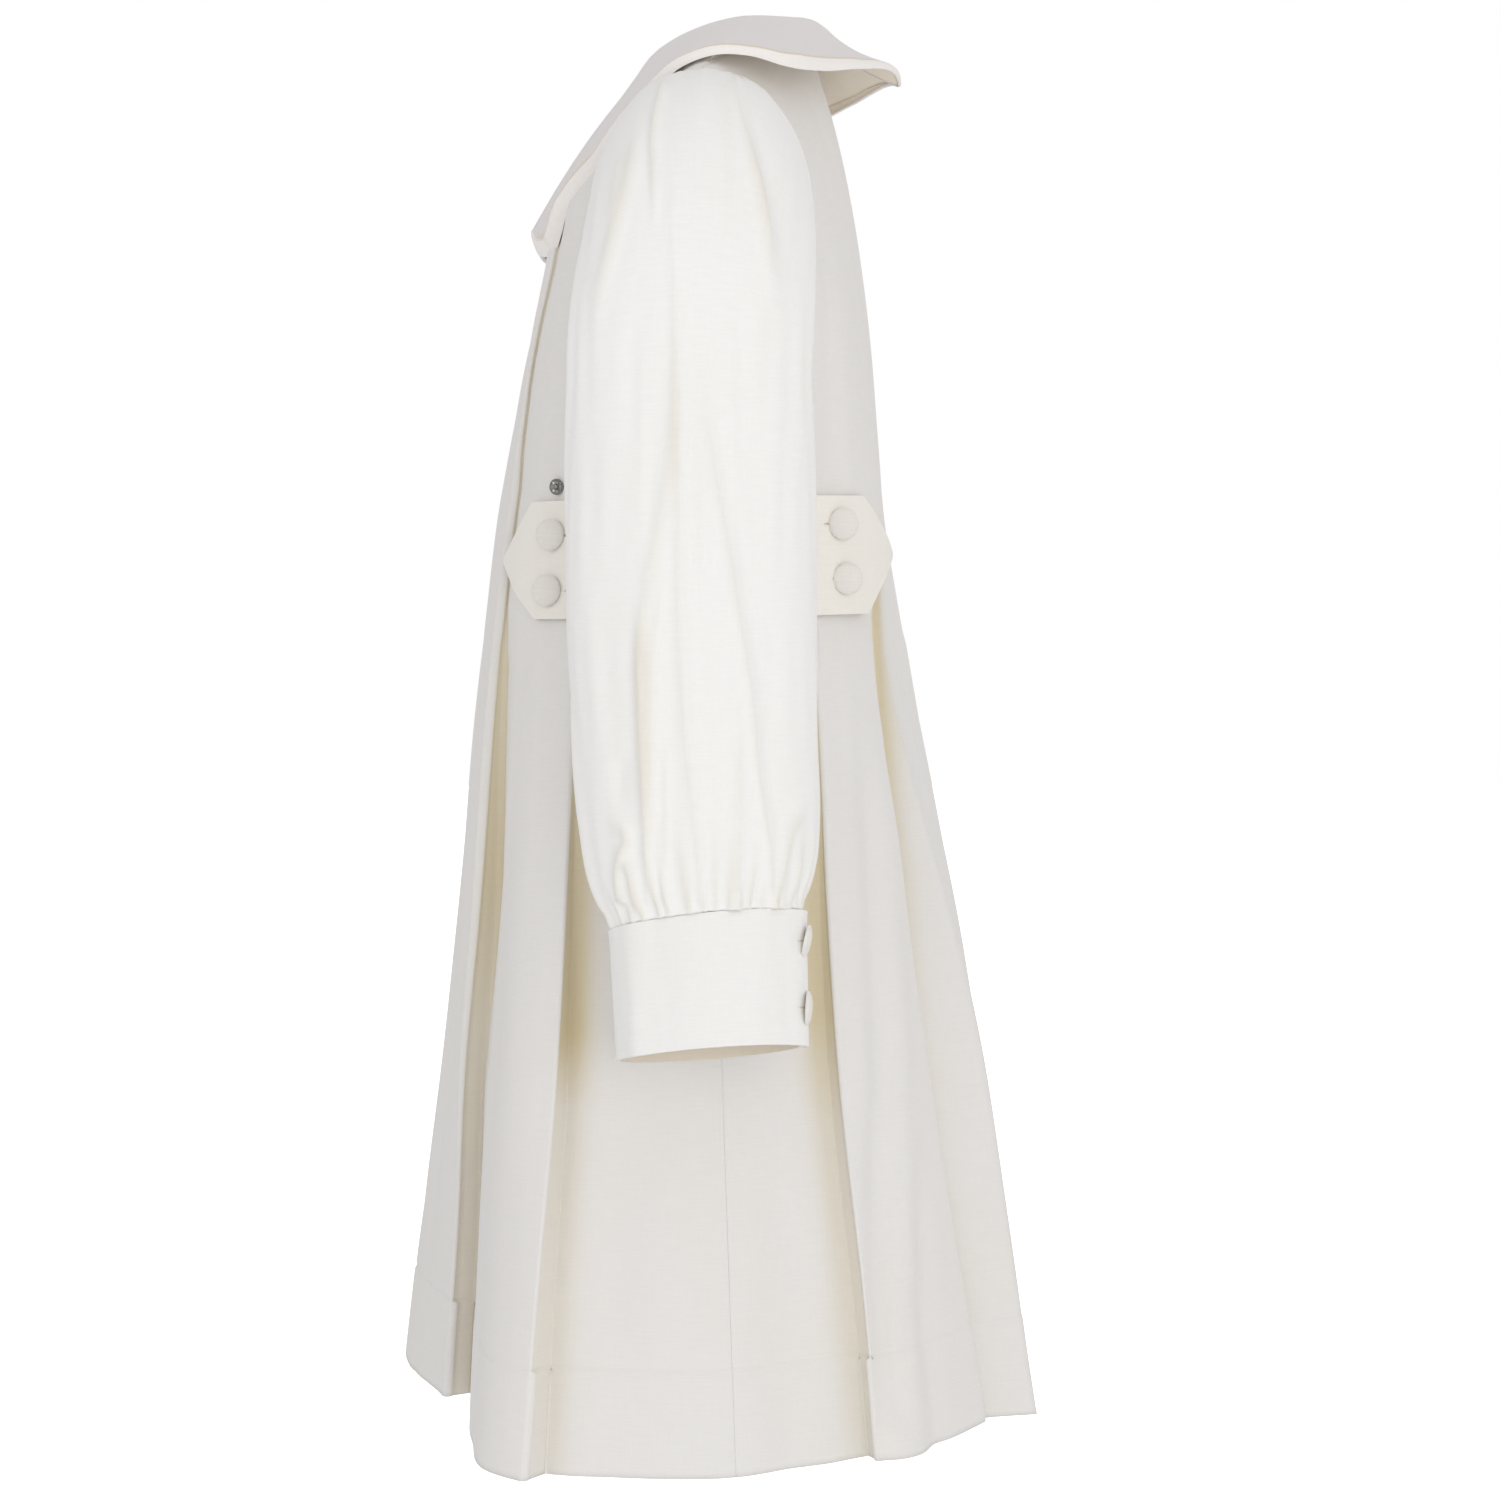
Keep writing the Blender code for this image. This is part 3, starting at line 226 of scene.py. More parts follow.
ARM_STEPS = 130
SLEEVE_FRONT_DROP = 0.105
SLEEVE_FULL_SLOPE = 0.25
CAP_STAND = 0.0008
CAP_FALL = -0.45
CAP_TOP_RISE = 0.33
CAP_PULL = 0.3
CAP_ARM_PULL = 0.42
CAP_PLAIN_SHARE = 0.3

# Long soft folds on the sleeve's hidden sides: angle round the arm at the top and the foot
# (0 outward, 90 to the front), the heights between which it runs, its depth and half width in
# degrees.
SLEEVE_FOLDS = (
    (84, 96, -0.15, -0.33, 0.0026, 9),
    (112, 104, -0.26, -0.48, 0.003, 11),
    (86, 78, -0.43, -0.56, 0.0034, 8),
    (125, 140, -0.12, -0.3, 0.0032, 13),
    (150, 138, -0.38, -0.56, 0.0034, 10),
    (172, 178, -0.29, -0.48, 0.0028, 12),
    (-150, -160, -0.4, -0.56, 0.0034, 11),
    (-128, -140, -0.13, -0.32, 0.003, 12),
    (-98, -108, -0.25, -0.44, 0.0028, 10),
    (-112, -100, -0.47, -0.562, 0.0032, 8),
    (-80, -90, -0.11, -0.23, 0.0022, 8),
)

# Creases of a sleeve, given as seen from its side, as for the body
SLEEVE_CREASES = (
    ("valley", 0.0034, 0.0026, True, False,
     (-0.0542, -0.052), (-0.0584, -0.0797), (-0.0592, -0.0957), (-0.0583, -0.1164),
     (-0.0573, -0.16)),
    ("valley", 0.0026, 0.006, False, False,
     (-0.0534, -0.194), (-0.0463, -0.23), (-0.0474, -0.289), (-0.0557, -0.3365),
     (-0.0629, -0.384), (-0.064, -0.4314), (-0.064, -0.49)),
    ("valley", 0.0018, 0.003, False, True,
     (-0.047, -0.33), (-0.0534, -0.372), (-0.0581, -0.4076), (-0.0593, -0.4551),
     (-0.0611, -0.5144), (-0.0611, -0.55)),
    ("ridge", 0.0014, 0.007, False, True,
     (-0.049, -0.37), (-0.049, -0.44), (-0.048, -0.53)),
    ("crease", 0.0024, 0.003, True, False,
     (-0.01, -0.05), (-0.0074, -0.0705), (-0.0024, -0.0916), (0.0043, -0.1171),
     (0.0103, -0.15), (0.014, -0.185)),
    ("valley", 0.0026, 0.0055, False, False,
     (-0.006, -0.076), (0.001, -0.105), (0.006, -0.13), (0.012, -0.17), (0.015, -0.21)),
    ("valley", 0.0016, 0.004, True, False, (-0.0149, -0.0559), (-0.0134, -0.119),
     (-0.0121, -0.19)),
    ("valley", 0.0034, 0.0052, False, False,
     (-0.068, -0.068), (-0.0724, -0.1094), (-0.0803, -0.1449), (-0.0898, -0.1833),
     (-0.095, -0.22)),
    ("valley", 0.0018, 0.0038, False, False, (-0.0772, -0.0881), (-0.0808, -0.1145),
     (-0.086, -0.15)),
    ("ridge", 0.002, 0.009, False, False, (0.012, -0.09), (0.022, -0.13), (0.023, -0.21)),
    ("valley", 0.001, 0.004, False, False, (-0.0656, -0.1918), (-0.0648, -0.2823),
     (-0.0639, -0.39)),
    ("valley", 0.0012, 0.005, False, False, (-0.0259, -0.1858), (-0.0264, -0.2823),
     (-0.0251, -0.388)),
    ("valley", 0.001, 0.004, False, False, (-0.0114, -0.1918), (-0.0108, -0.2823),
     (-0.009, -0.398)),
    ("valley", 0.001, 0.005, False, False, (0.0162, -0.21), (0.0156, -0.3123), (0.0143, -0.394)),
    ("valley", 0.0048, 0.0044, False, False,
     (-0.065, -0.37), (-0.0644, -0.41), (-0.0629, -0.4667), (-0.0616, -0.5008),
     (-0.0606, -0.5101), (-0.0627, -0.5212), (-0.0674, -0.5277), (-0.0727, -0.53)),
    ("valley", 0.0026, 0.0028, True, True,
     (-0.0727, -0.53), (-0.0703, -0.5359), (-0.0697, -0.5424), (-0.068, -0.56)),
    ("ridge", 0.0018, 0.005, False, False, (-0.076, -0.46), (-0.078, -0.49), (-0.072, -0.506)),
    ("valley", 0.0034, 0.0032, False, True,
     (-0.0887, -0.5066), (-0.0816, -0.5078), (-0.075, -0.5095), (-0.0727, -0.5154),
     (-0.0764, -0.5242), (-0.0788, -0.5323), (-0.078, -0.55)),
    ("ridge", 0.0014, 0.003, False, False, (-0.0655, -0.518), (-0.069, -0.524), (-0.074, -0.527)),
    ("valley", 0.002, 0.003, False, True, (-0.05, -0.45), (-0.0496, -0.4685), (-0.05, -0.55)),
    ("crease", 0.0024, 0.003, False, True,
     (-0.0472, -0.0846), (-0.0451, -0.194), (-0.0439, -0.3128), (-0.0427, -0.372),
     (-0.0403, -0.4195), (-0.0368, -0.4669), (-0.0308, -0.5215), (-0.029, -0.55)),
    ("valley", 0.0022, 0.0034, False, True, (-0.0083, -0.4314), (-0.0077, -0.4667),
     (-0.0083, -0.56)),
    ("crease", 0.0026, 0.003, False, True,
     (-0.0308, -0.23), (-0.0225, -0.289), (-0.013, -0.346), (-0.0071, -0.384),
     (-0.0012, -0.4195), (0.0047, -0.479), (0.0119, -0.525), (0.014, -0.556)),
    ("valley", 0.0036, 0.004, False, True,
     (0.0403, -0.4926), (0.0302, -0.5008), (0.024, -0.5101), (0.0219, -0.5212), (0.0213, -0.5323),
     (0.0195, -0.56)),
    ("valley", 0.002, 0.0026, False, True, (0.0296, -0.508), (0.0285, -0.53), (0.0275, -0.556)),
)

# y of each gather that shows at the sleeve's cap, and at its cuff
CAP_GATHERS = (-0.07, -0.064, -0.0568, -0.0531, -0.0449, -0.0381, -0.0281, -0.0243, -0.02,
               -0.0125, -0.0094, -0.0019, 0.0035, 0.0095)
CUFF_GATHERS = (-0.082, -0.0752, -0.0692, -0.0627, -0.0538, -0.0467, -0.0355, -0.0278, -0.0195,
                -0.013, -0.0071, -0.0006, 0.0065, 0.013, 0.0225, 0.0278)
# At random: how far a gather wanders, in degrees, and the least and most of its depth, its
# length and its half width in degrees.
CAP_GATHER_SIZES = (0.5, (0.0016, 0.003), (0.014, 0.044), (1.7, 2.8))
CUFF_GATHER_SIZES = (1.2, (0.0026, 0.0048), (0.02, 0.07), (1.6, 3.0))
HIDDEN_GATHERS = np.radians(np.arange(100.0, 284.0, 9.0))

# How the sleeve puffs out below its cap and above its cuff: height, rise and fade, and how it
# tucks in just above the cuff: depth and reach.
CAP_PUFF = (0.001, 0.004, 0.03)
CUFF_PUFF = (0.0022, 0.012, 0.035)
CUFF_TUCK = (0.0008, 0.006)

# Shade painted into the sleeve's creases and gathers: the depth of crease where it starts, over
# which it grows and its most, the depth of gather that it is measured against and its most there.
PAINTED_SHADE_FROM = 0.001
PAINTED_SHADE_FADE = 0.004
PAINTED_SHADE_CREASE = 0.3
GATHER_DEPTH = 0.008
PAINTED_SHADE_GATHER = 0.25
CAP_SHOWN = 1.3

# Cuff
CUFF_ROUND = 0.33
CUFF_DEGREE = 0.0009
CUFF_DEPTH = 0.078
CUFF_FOOT_CENTRE = (0.322, -0.024)
CUFF_FOOT_HALF = (0.04, 0.055)
CUFF_FOOT_SLOPE = 0.19
CUFF_COLUMNS = 150
CUFF_ROWS = 28
CUFF_LAP_START = -102.0
CUFF_LAP = 24.0
CUFF_LAP_RISE = 0.0029
CUFF_FLATNESS = 0.0016
CUFF_FLAT_ANGLE = 8
CUFF_INNER_FLATNESS = 0.6
CUFF_WAVES = 0.0005
CUFF_SEAM_PUFF = (0.0006, 0.0035)
CUFF_STITCH = (0.0004, 0.0009)
CUFF_STITCH_TOP = 0.0065
CUFF_STITCH_FOOT = 0.0062
CUFF_PULL = (0.0006, 0.01)
CUFF_FOOT_BEND = 0.002
CUFF_RIDGE = (50.0, 11.0, 0.0028)
CUFF_SLIT = (-79.0, -67.5)
CUFF_SLIT_FADE = 1.5
CUFF_BUTTON_SHARES = (0.23, 0.72)
CUFF_BUTTON_ANGLE = -78.0

# Left half of the collar from the centre front to the centre back: its outer edge, the ring over
# which it rolls, and how far out its middle swells.
COLLAR_OUTER = (
    (0.0014, -0.152, -0.126), (0.018, -0.1495, -0.1335), (0.036, -0.1435, -0.1355),
    (0.052, -0.1355, -0.134), (0.064, -0.13, -0.1245), (0.076, -0.1245, -0.109),
    (0.105, -0.1, -0.0845), (0.13, -0.08, -0.0595), (0.15, -0.062, -0.042),
    (0.163, -0.045, -0.029), (0.17, -0.021, -0.022), (0.166, -0.001, -0.022),
    (0.154, 0.0215, -0.0265), (0.12, 0.049, -0.025), (0.085, 0.072, -0.019),
    (0.05, 0.09, -0.0155), (0.025, 0.099, -0.016), (0.0014, 0.1025, -0.0205),
)
COLLAR_ROLL = (
    (0.0014, -0.06, 0.0), (0.03, -0.055, 0.0025), (0.054, -0.04, 0.007),
    (0.07, -0.02, 0.0115), (0.077, -0.002, 0.0135), (0.07, 0.02, 0.0142),
    (0.05, 0.037, 0.0165), (0.026, 0.044, 0.018), (0.0014, 0.0455, 0.0185),
)
COLLAR_SWELLS = (0.0045, 0.0032, 0.001, -0.001, -0.0045)
COLLAR_ROLL_RADIUS = 0.0045
# Section of the roll in its radius, out and up from its ring, to the start of the fall
COLLAR_SECTION = ((-1.0, -0.45), (-0.4, 0.27), (0.5, 0.18), (1.4, -0.36))

# How the collar's worn edge lies off its even line: share of the way from the centre front to the
# centre back, moves in y and z, and width of the turned-down rim.
COLLAR_EDGE = (
    (0.0, 0.003, -0.004, 0.0095), (0.042, 0.0045, -0.0045, 0.0105),
     (0.083, 0.0048, -0.0055, 0.0112),
    (0.125, 0.0035, -0.0045, 0.0116), (0.167, 0.003, -0.004, 0.0112),
     (0.208, 0.0035, -0.005, 0.0107),
    (0.25, 0.003, -0.003, 0.0101), (0.333, 0.0025, -0.0025, 0.009),
     (0.417, 0.0025, -0.003, 0.0074),
    (0.5, 0.001, -0.004, 0.006), (0.583, 0.0, -0.0042, 0.0056), (0.667, 0.0, -0.004, 0.0088),
    (0.75, 0.0, -0.0032, 0.0078), (0.833, 0.0, -0.0025, 0.0058), (0.917, 0.0, 0.0, 0.0046),
    (1.0, 0.0, 0.0, 0.0036),
)
COLLAR_RIM_LEAN = 0.0012
COLLAR_HOLD = 0.1
COLLAR_RIM_SWELL = 0.0008
COLLAR_RIM_PARTS = (0.05, *np.linspace(0.15, 0.85, 6), 0.93, 0.98, 1.0)
# Shade painted along the collar's lip crease: share from the centre front to fade in, strength
COLLAR_LIP_PAINTED_SHADE = (0.12, 0.8)
COLLAR_SEAM_RISE = 0.0016
COLLAR_COLUMNS = 130
COLLAR_ROWS = 30

# Side belt tab
TAB_POINT = 0.046
TAB_STAND = 0.0018
FIRST_OPEN_LINE = 4
TAB_TIP_HALF = 0.0016
TAB_START_X = 0.0735
TAB_END_X = 0.096
TAB_BACK_RISE = 0.0045
TAB_FRONT_LEAN = 0.024
TAB_BACK_LEAN = 0.005
TAB_TIP_LIFT = 0.0035
TAB_COLUMNS = 130
TAB_ROWS = 30
TAB_SIDE_SHARE = 0.65
TAB_FRONT_LIFT = 0.003
TAB_EDGE_LINE = 0.004
TAB_EDGE_DEPTH = 0.00035
TAB_EDGE_HALF = 0.0008

# Distance of each tab button from its end of the tab, and its height from the middle line
TAB_BUTTONS = (("front", "upper", 0.0775, 0.0158), ("front", "lower", 0.08, -0.0204),
               ("back", "upper", 0.0705, 0.0202), ("back", "lower", 0.068, -0.0152))
TAB_SLIT = 0.014
TAB_SLIT_FADE = 0.0012
TANGENT_COLUMNS = 0.35
TANGENT_RISE = 0.004

# Covered buttons and the press stud
BUTTON_RADIUS = 0.0104
BUTTON_THICKNESS = 0.005
BUTTON_STEPS = 12
BUTTON_SIDES = 40
BUTTON_DOME = (0.97, 0.5, 2.6)
BUTTON_RIM = ((0.985, 0.42), (1.0, 0.32), (0.99, 0.18), (0.95, 0.0))
# Added to a tab button's outward way, towards the side, so that it is turned from its tab
BUTTON_TILTS = {"front": 0.8, "back": 1.1}
STUD_TILT = 0.6
TAB_BUTTON_SEAT = 0.0028
CUFF_BUTTON_SEAT = 0.0012
CUFF_BUTTON_THICKNESS = 0.004
CUFF_BUTTON_WAYS = ((0.1, 1.0, -0.2), (0.06, 1.0, -0.05))
STUD_RADIUS = 0.0053
STUD_PLATE = 0.0007
STUD_RIM = 0.0005
STUD_HUB = 0.0013
STUD_HOLES = 4
STUD_HOLE_REACH = 0.0033
STUD_HOLE_RADIUS = 0.00095
STUD_SEAT = 0.0016
STUD_SHIFT = 0.004

# Creases: points of each line, reach in half widths, shares over which the ends fade
CREASE_POINTS = 28
CREASE_REACH = 5.0
CREASE_START = 0.3
CREASE_END = 0.45

# How far sideways and how far to the front or back the cloth must face to take the creases that
# are seen from there
SIDE_FROM = 0.15
FACING_FROM = 0.3
SIDE_FADE = 0.4

# Slow waves, and how the cloth is calmed under the tab and near its seams and edges
BODY_MIDDLE_Y = -0.035
BODY_ROUNDNESS = 1.35
BODY_WAVES = 0.0016
SLEEVE_WAVES = 0.0009
TAB_CALM_REACH = 0.06
TAB_CALM_FADE = 0.02
WAVES_CALMED = 0.8
RIDGES_CALMED = 0.7
SEAM_CALM = 0.012
EDGE_CALM_ROWS = 14.0
HANGING_Z = CHEST_Z + 0.06
HANGING_FADE = 0.2
SLEEVE_CALM = (0.05, 0.04)

# Seams, slits and the hem's stitching
SEAM_TOUCH = 0.00005
SEAM_ROLL = 0.0004
SEAM_ROLL_WIDTH = 0.001
SLIT_DEPTH = 0.0011
SLIT_HALF = 0.0006
SLIT_STEPS = (-0.0018, -0.001, -0.0005, 0.0, 0.0005, 0.001, 0.0018)
CLOSEST_ROWS = 0.0002
HEM_GROOVE = (0.0005, 0.0013)
HEM_BAND = (0.0005, 0.003)

# How far the shade painted in each pleat reaches from its fold, and its strength at depths below
# the neck.
PAINTED_RECESS_SHADES = {
    "front fold": (0.0, ((0.05, 0.35), (0.3, 0.5), (0.42, 0.75), (0.56, 0.85), (0.66, 0.5),
     (0.92, 0.4))),
    "side-front fold": (0.01, ((0.38, 0.0), (0.44, 0.9), (0.56, 0.9), (0.645, 1.0), (0.69, 0.3),
                                (0.92, 0.2))),
    "side-back fold": (0.01, ((0.36, 0.0), (0.44, 0.9), (0.56, 0.95), (0.63, 0.95), (0.7, 0.42),
                               (0.92, 0.22))),
    "back-panel fold": (0.016, ((0.33, 0.0), (0.37, 1.0), (0.46, 1.0), (0.53, 0.6), (0.66, 0.2),
                                (0.92, 0.12))),
}
CRISP_REACH = 0.0008

# How far the front stands forward under and below the collar, at depths below the neck
FRONT_FORWARD = ((0.06, 0.0), (0.08, 0.006), (0.095, 0.014), (0.11, 0.019), (0.125, 0.015),
                 (0.15, 0.01), (0.17, 0.008), (0.2, 0.006), (0.235, 0.0045), (0.27, 0.003),
                  (0.3, 0.0))

# Over which part of the front, aside from its centre, it does so
FORWARD_INNER = 0.045
FORWARD_OUTER = 0.162
FORWARD_FADE = 0.05

# How far the standing edge moves forward and the front fold back, at depths below the neck, and
# at which of the section's lines
EDGE_FORWARD = ((0.25, 0.0), (0.3, 0.0022), (0.4, 0.0038), (0.56, 0.0036), (0.75, 0.0))
FOLD_BACK = ((0.38, 0.0), (0.42, 0.0045), (0.56, 0.005), (0.7, 0.0))
EDGE_FORWARD_LINES = ((0.0, 0.0), (1.0, 1.0), (1.6, 0.0))
FOLD_BACK_LINES = ((3.0, 0.0), (4.0, 1.0), (5.0, 1.0), (6.0, 0.0))
# How far the back-panel fold lies forward just under the tab, and at which lines from its own
FOLD_IN = ((0.35, 0.0), (0.385, 0.0042), (0.41, 0.003), (0.46, 0.0))
FOLD_IN_LINES = ((-4.0, 0.0), (-1.5, 1.0), (0.6, 1.0), (1.6, 0.0))
YOKE_SWELL = 0.0065
YOKE_SWELL_FOOT = 0.075
YOKE_SWELL_FADE = 0.025
YOKE_SWELL_ROWS = 3.0
YOKE_SWELL_PLACE = (0.142, -0.038)
YOKE_SWELL_REACH = (0.02, 0.018)


def mix(low, high, share):
    return low + (high - low) * share


def ease(share):
    """0 to 1 with level ends."""
    share = np.clip(share, 0.0, 1.0)
    return share * share * (3.0 - 2.0 * share)


def read_off(table, places):
    """Values between the rows of a table of (place, value)."""
    return np.interp(places, *zip(*table))


def rounded(shape, off):
    """A rounded ridge of (height, half width) at distances from its line."""
    height, half_width = shape
    return height * np.exp(-(off / half_width) ** 2)


def unit(vectors):
    length = np.linalg.norm(vectors, axis=-1, keepdims=True)
    return vectors / np.maximum(length, 1e-12)


def slopes(points, places, creases):
    """Slopes before and after each point of smooth curves; points (..., n, k), places (..., n)."""
    steps = np.diff(places, axis=-1)[..., None]
    rises = np.diff(points, axis=-2) / steps
    before = np.concatenate([rises[..., :1, :], rises], axis=-2)
    after = np.concatenate([rises, rises[..., -1:, :]], axis=-2)
    middle = (rises[..., :-1, :] * steps[..., 1:, :] + rises[..., 1:, :] * steps[..., :-1, :])
    middle = middle / (steps[..., 1:, :] + steps[..., :-1, :])
    smooth = ~np.asarray(creases)[1:-1]
    before[..., 1:-1, :][..., smooth, :] = middle[..., smooth, :]
    after[..., 1:-1, :][..., smooth, :] = middle[..., smooth, :]
    return before, after


def curve(points, places, creases, index, share):
    """Points on smooth curves, each at a share of the way from one given point to the next."""
    before, after = slopes(points, places, creases)
    width = (places[..., index + 1] - places[..., index])[..., None]
    share = share[..., None]
    square = share * share
    cube = square * share
    return (points[..., index, :] * (2 * cube - 3 * square + 1)
            + after[..., index, :] * width * (cube - 2 * square + share)
            + points[..., index + 1, :] * (3 * square - 2 * cube)
            + before[..., index + 1, :] * width * (cube - square))


def chord_places(points):
    steps = np.maximum(np.linalg.norm(np.diff(points, axis=-2), axis=-1), 1e-6)
    return np.concatenate([np.zeros(steps.shape[:-1] + (1,)), np.cumsum(steps, axis=-1)], axis=-1)


def at_places(values, places, wanted):
    """Values given at places, at other places on a smooth curve between them."""
    index = np.clip(np.searchsorted(places, wanted, side="left") - 1, 0, len(places) - 2)
    share = (wanted - places[index]) / (places[index + 1] - places[index])
    smooth = [False] * len(places)
    return curve(values, places, smooth, index, share)


def along_string(points, shares):
    """Points on a smooth curve through given ones, at shares of its length."""
    points = np.array(points, float)
    places = chord_places(points)
    return at_places(points, places, shares * places[-1])


def level_values(values, heights):
    """Values given at each of the levels, at other heights."""
    return at_places(np.asarray(values, float).reshape(len(LEVELS), -1), -LEVELS, -heights)


LINE_NAMES = [row[0] for row in BODY_LINES]


def cloth_at(z):
    """Thickness of the dress's cloth at a height: double in the turned-up hem."""
    return np.where(z < HEM_STITCH_Z, HEM_CLOTH, CLOTH)


def lines_at(heights):
    """The sections at several heights, with the underside and root of each pleat: points
    (heights, lines, 3), creased or not, tops along the upper edge, and the fold arcs as
    (number of the line where the arc starts, its outward way)."""
    base = {}
    for name, _, _, *places in BODY_LINES:
        flat = level_values(places, heights)
        base[name] = np.concatenate([flat, heights[:, None]], axis=1)
    lay = (2 * cloth_at(heights) + PLEAT_GAP)[:, None]
    hidden = {}
    for fold, beside, cover, folded in PLEATS:
        openness = np.clip(level_values(folded, heights), 0.0, 1.0)
        edge, come_out = base[fold], base[beside]
        under = unit(base[cover] - edge)
        inward = np.stack([-under[:, 1], under[:, 0], 0 * lay[:, 0]], axis=1)
        inward = inward * -np.sign((inward * edge).sum(1, keepdims=True))
        underside = mix(mix(edge, come_out, 1 / 3), edge + inward * lay, openness)
        root = mix(mix(edge, come_out, 2 / 3), come_out + under * UNDERLAPS[fold], openness)
        hidden[fold] = (underside, root, -under * openness * lay * 0.5)
    points, creases, tops, arcs = [], [], [], []
    for number, (name, top, creased, *_) in enumerate(BODY_LINES):
        points.append(base[name])
        creases.append(creased)
        tops.append(top)
        if number + 1 == len(BODY_LINES):
            break
        following = LINE_NAMES[number + 1]
        next_top = BODY_LINES[number + 1][1]
        for fold, beside, _, _ in PLEATS:
            underside, root, bulge = hidden[fold]
            if (name, following) == (fold, beside):
                arcs.append((len(points) - 1, bulge))
                points += [underside, root]
            elif (name, following) == (beside, fold):
                arcs.append((len(points) + 1, bulge))
                points += [root, underside]
            else:
                continue
            creases += [True, True]
            tops += [mix(top, next_top, 1 / 3), mix(top, next_top, 2 / 3)]
    return np.stack(points, axis=1), creases, np.array(tops), arcs


def line_names():
    """The names of the section's lines in their order, with None for a hidden line."""
    pairs = [(fold, beside) for fold, beside, _, _ in PLEATS]
    names = []
    for name, following in zip(LINE_NAMES, LINE_NAMES[1:] + [None]):
        names.append(name)
        if (name, following) in pairs or (following, name) in pairs:
            names += [None, None]
    return names


def sections(heights, index, share):
    """Points of the sections at heights, at columns given by a line's number and a share."""
    points, creases, _, arcs = lines_at(heights)
    mirror = np.array([-1.0, 1.0, 1.0])
    points = np.concatenate([points[:, 1:2] * mirror, points, points[:, -2:-1] * mirror], axis=1)
    creases = [False] + list(creases) + [False]
    found = curve(points, chord_places(points), creases, index + 1, share)
    for start, bulge in arcs:
        here = index == start
        turn = math.pi * share[here]
        first, last = points[:, start + 1][:, None], points[:, start + 2][:, None]
        open_arc = np.linalg.norm(bulge, axis=1)[:, None, None] > 0
        arc = mix(first, last, ((1 - np.cos(turn)) / 2)[None, :, None])
        arc = arc + bulge[:, None] * (np.sin(turn) * FOLD_ROUND)[None, :, None]
        found[:, here] = np.where(open_arc, arc, found[:, here])
    return found


def upper_edge(places):
    """Points on the panels' upper edge and the ways in which the panel leaves it."""
    points = np.array([row[1] for row in UPPER_EDGE])
    leaves = np.array([row[2] for row in UPPER_EDGE])
    index = np.clip(places.astype(int), 0, len(UPPER_EDGE) - 2)
    share = places - index
    found = curve(points, chord_places(points), [row[0] for row in UPPER_EDGE], index, share)
    return found, unit(mix(leaves[index], leaves[index + 1], share[:, None]))


def bezier(start, start_pull, end_pull, end, share):
    rest = 1.0 - share
    return (start * rest ** 3 + start_pull * 3 * rest ** 2 * share
            + end_pull * 3 * rest * share ** 2 + end * share ** 3)


def yoke(index, share, rises):
    """Rows of points above the chest, on the way to the upper edge."""
    _, _, tops, _ = lines_at(np.array([CHEST_Z]))
    near = sections(np.array([CHEST_Z, CHEST_Z - 0.01]), index, share)
    chest = near[0]
    rise = unit(near[0] - near[1])
    places = mix(tops[index], tops[np.minimum(index + 1, len(tops) - 1)], share)
    edge, leave = upper_edge(places)
    reach = np.linalg.norm(edge - chest, axis=1, keepdims=True)
    rises = np.asarray(rises)[:, None, None]
    return bezier(chest, chest + rise * reach * YOKE_PULL, edge + leave * reach * YOKE_EDGE_PULL,
                  edge, rises), places


def spread_columns(counts, first):
    """Columns as line numbers and shares: so many steps from each line to the next, the last ones
    close to the side seam."""
    index = np.concatenate([[first + line] * count for line, count in enumerate(counts)])
    shares = [np.arange(count) / count for count in counts]
    at_seam = 0 if first else len(counts) - 1
    even = counts[at_seam] - len(CLOSE_SHARES)
    close = np.concatenate([np.linspace(0.0, CLOSE_SHARES[0], even + 1)[:-1], CLOSE_SHARES])
    shares[at_seam] = close if first == 0 else np.concatenate([[0.0], 1.0 - close[:0:-1]])
    return (np.append(index, first + len(counts) - 1).astype(int),
            np.append(np.concatenate(shares), 1.0))


def body_heights():
    """Heights of the rows below the chest, hem first, close together at the hem stitching."""
    hem = np.linspace(HEM_Z, HEM_STITCH_Z - 2 * STITCH_STEP, HEM_ROWS)
    seam = np.array([HEM_STITCH_Z - STITCH_STEP, HEM_STITCH_Z, HEM_STITCH_Z + STITCH_STEP])
    skirt = np.linspace(HEM_STITCH_Z + 2 * STITCH_STEP, CHEST_Z, SKIRT_ROWS)
    return np.concatenate([hem, seam, skirt])


def body_rows(counts, first):
    """Rows of points of one panel's left half, hem first."""
    index, share = spread_columns(counts, first)
    below = sections(body_heights(), index, share)
    even = YOKE_ROWS - len(CLOSE_RISES)
    rises = np.concatenate([np.linspace(0.0, CLOSE_RISES[0], even)[1:-1], CLOSE_RISES, [1.0]])
    above, places = yoke(index, share, rises)
    rows = np.concatenate([below, above])
    at_shoulder = ((places >= NECK_FRONT) & (places <= SHOULDER_FRONT)
                   | (places >= SHOULDER_BACK) & (places <= NECK_BACK))
    lean = SEAM_GAP / 2 + np.where(at_shoulder, SHOULDER_LEAN, 0.0)
    rows[-1] += unit(rows[-2] - rows[-1]) * lean[:, None]
    return rows


def soften(rows, low, high, passes):
    """Round off the section between two columns, and leave the cloth outside them."""
    for _ in range(passes):
        before = np.linalg.norm(rows[:, low:high] - rows[:, low - 1:high - 1], axis=-1)[..., None]
        after = np.linalg.norm(rows[:, low + 1:high + 1] - rows[:, low:high], axis=-1)[..., None]
        even = rows[:, low - 1:high - 1] * after + rows[:, low + 1:high + 1] * before
        even = even / np.maximum(before + after, 1e-9)
        rows[:, low:high] = mix(rows[:, low:high], even, 0.5)
    return rows


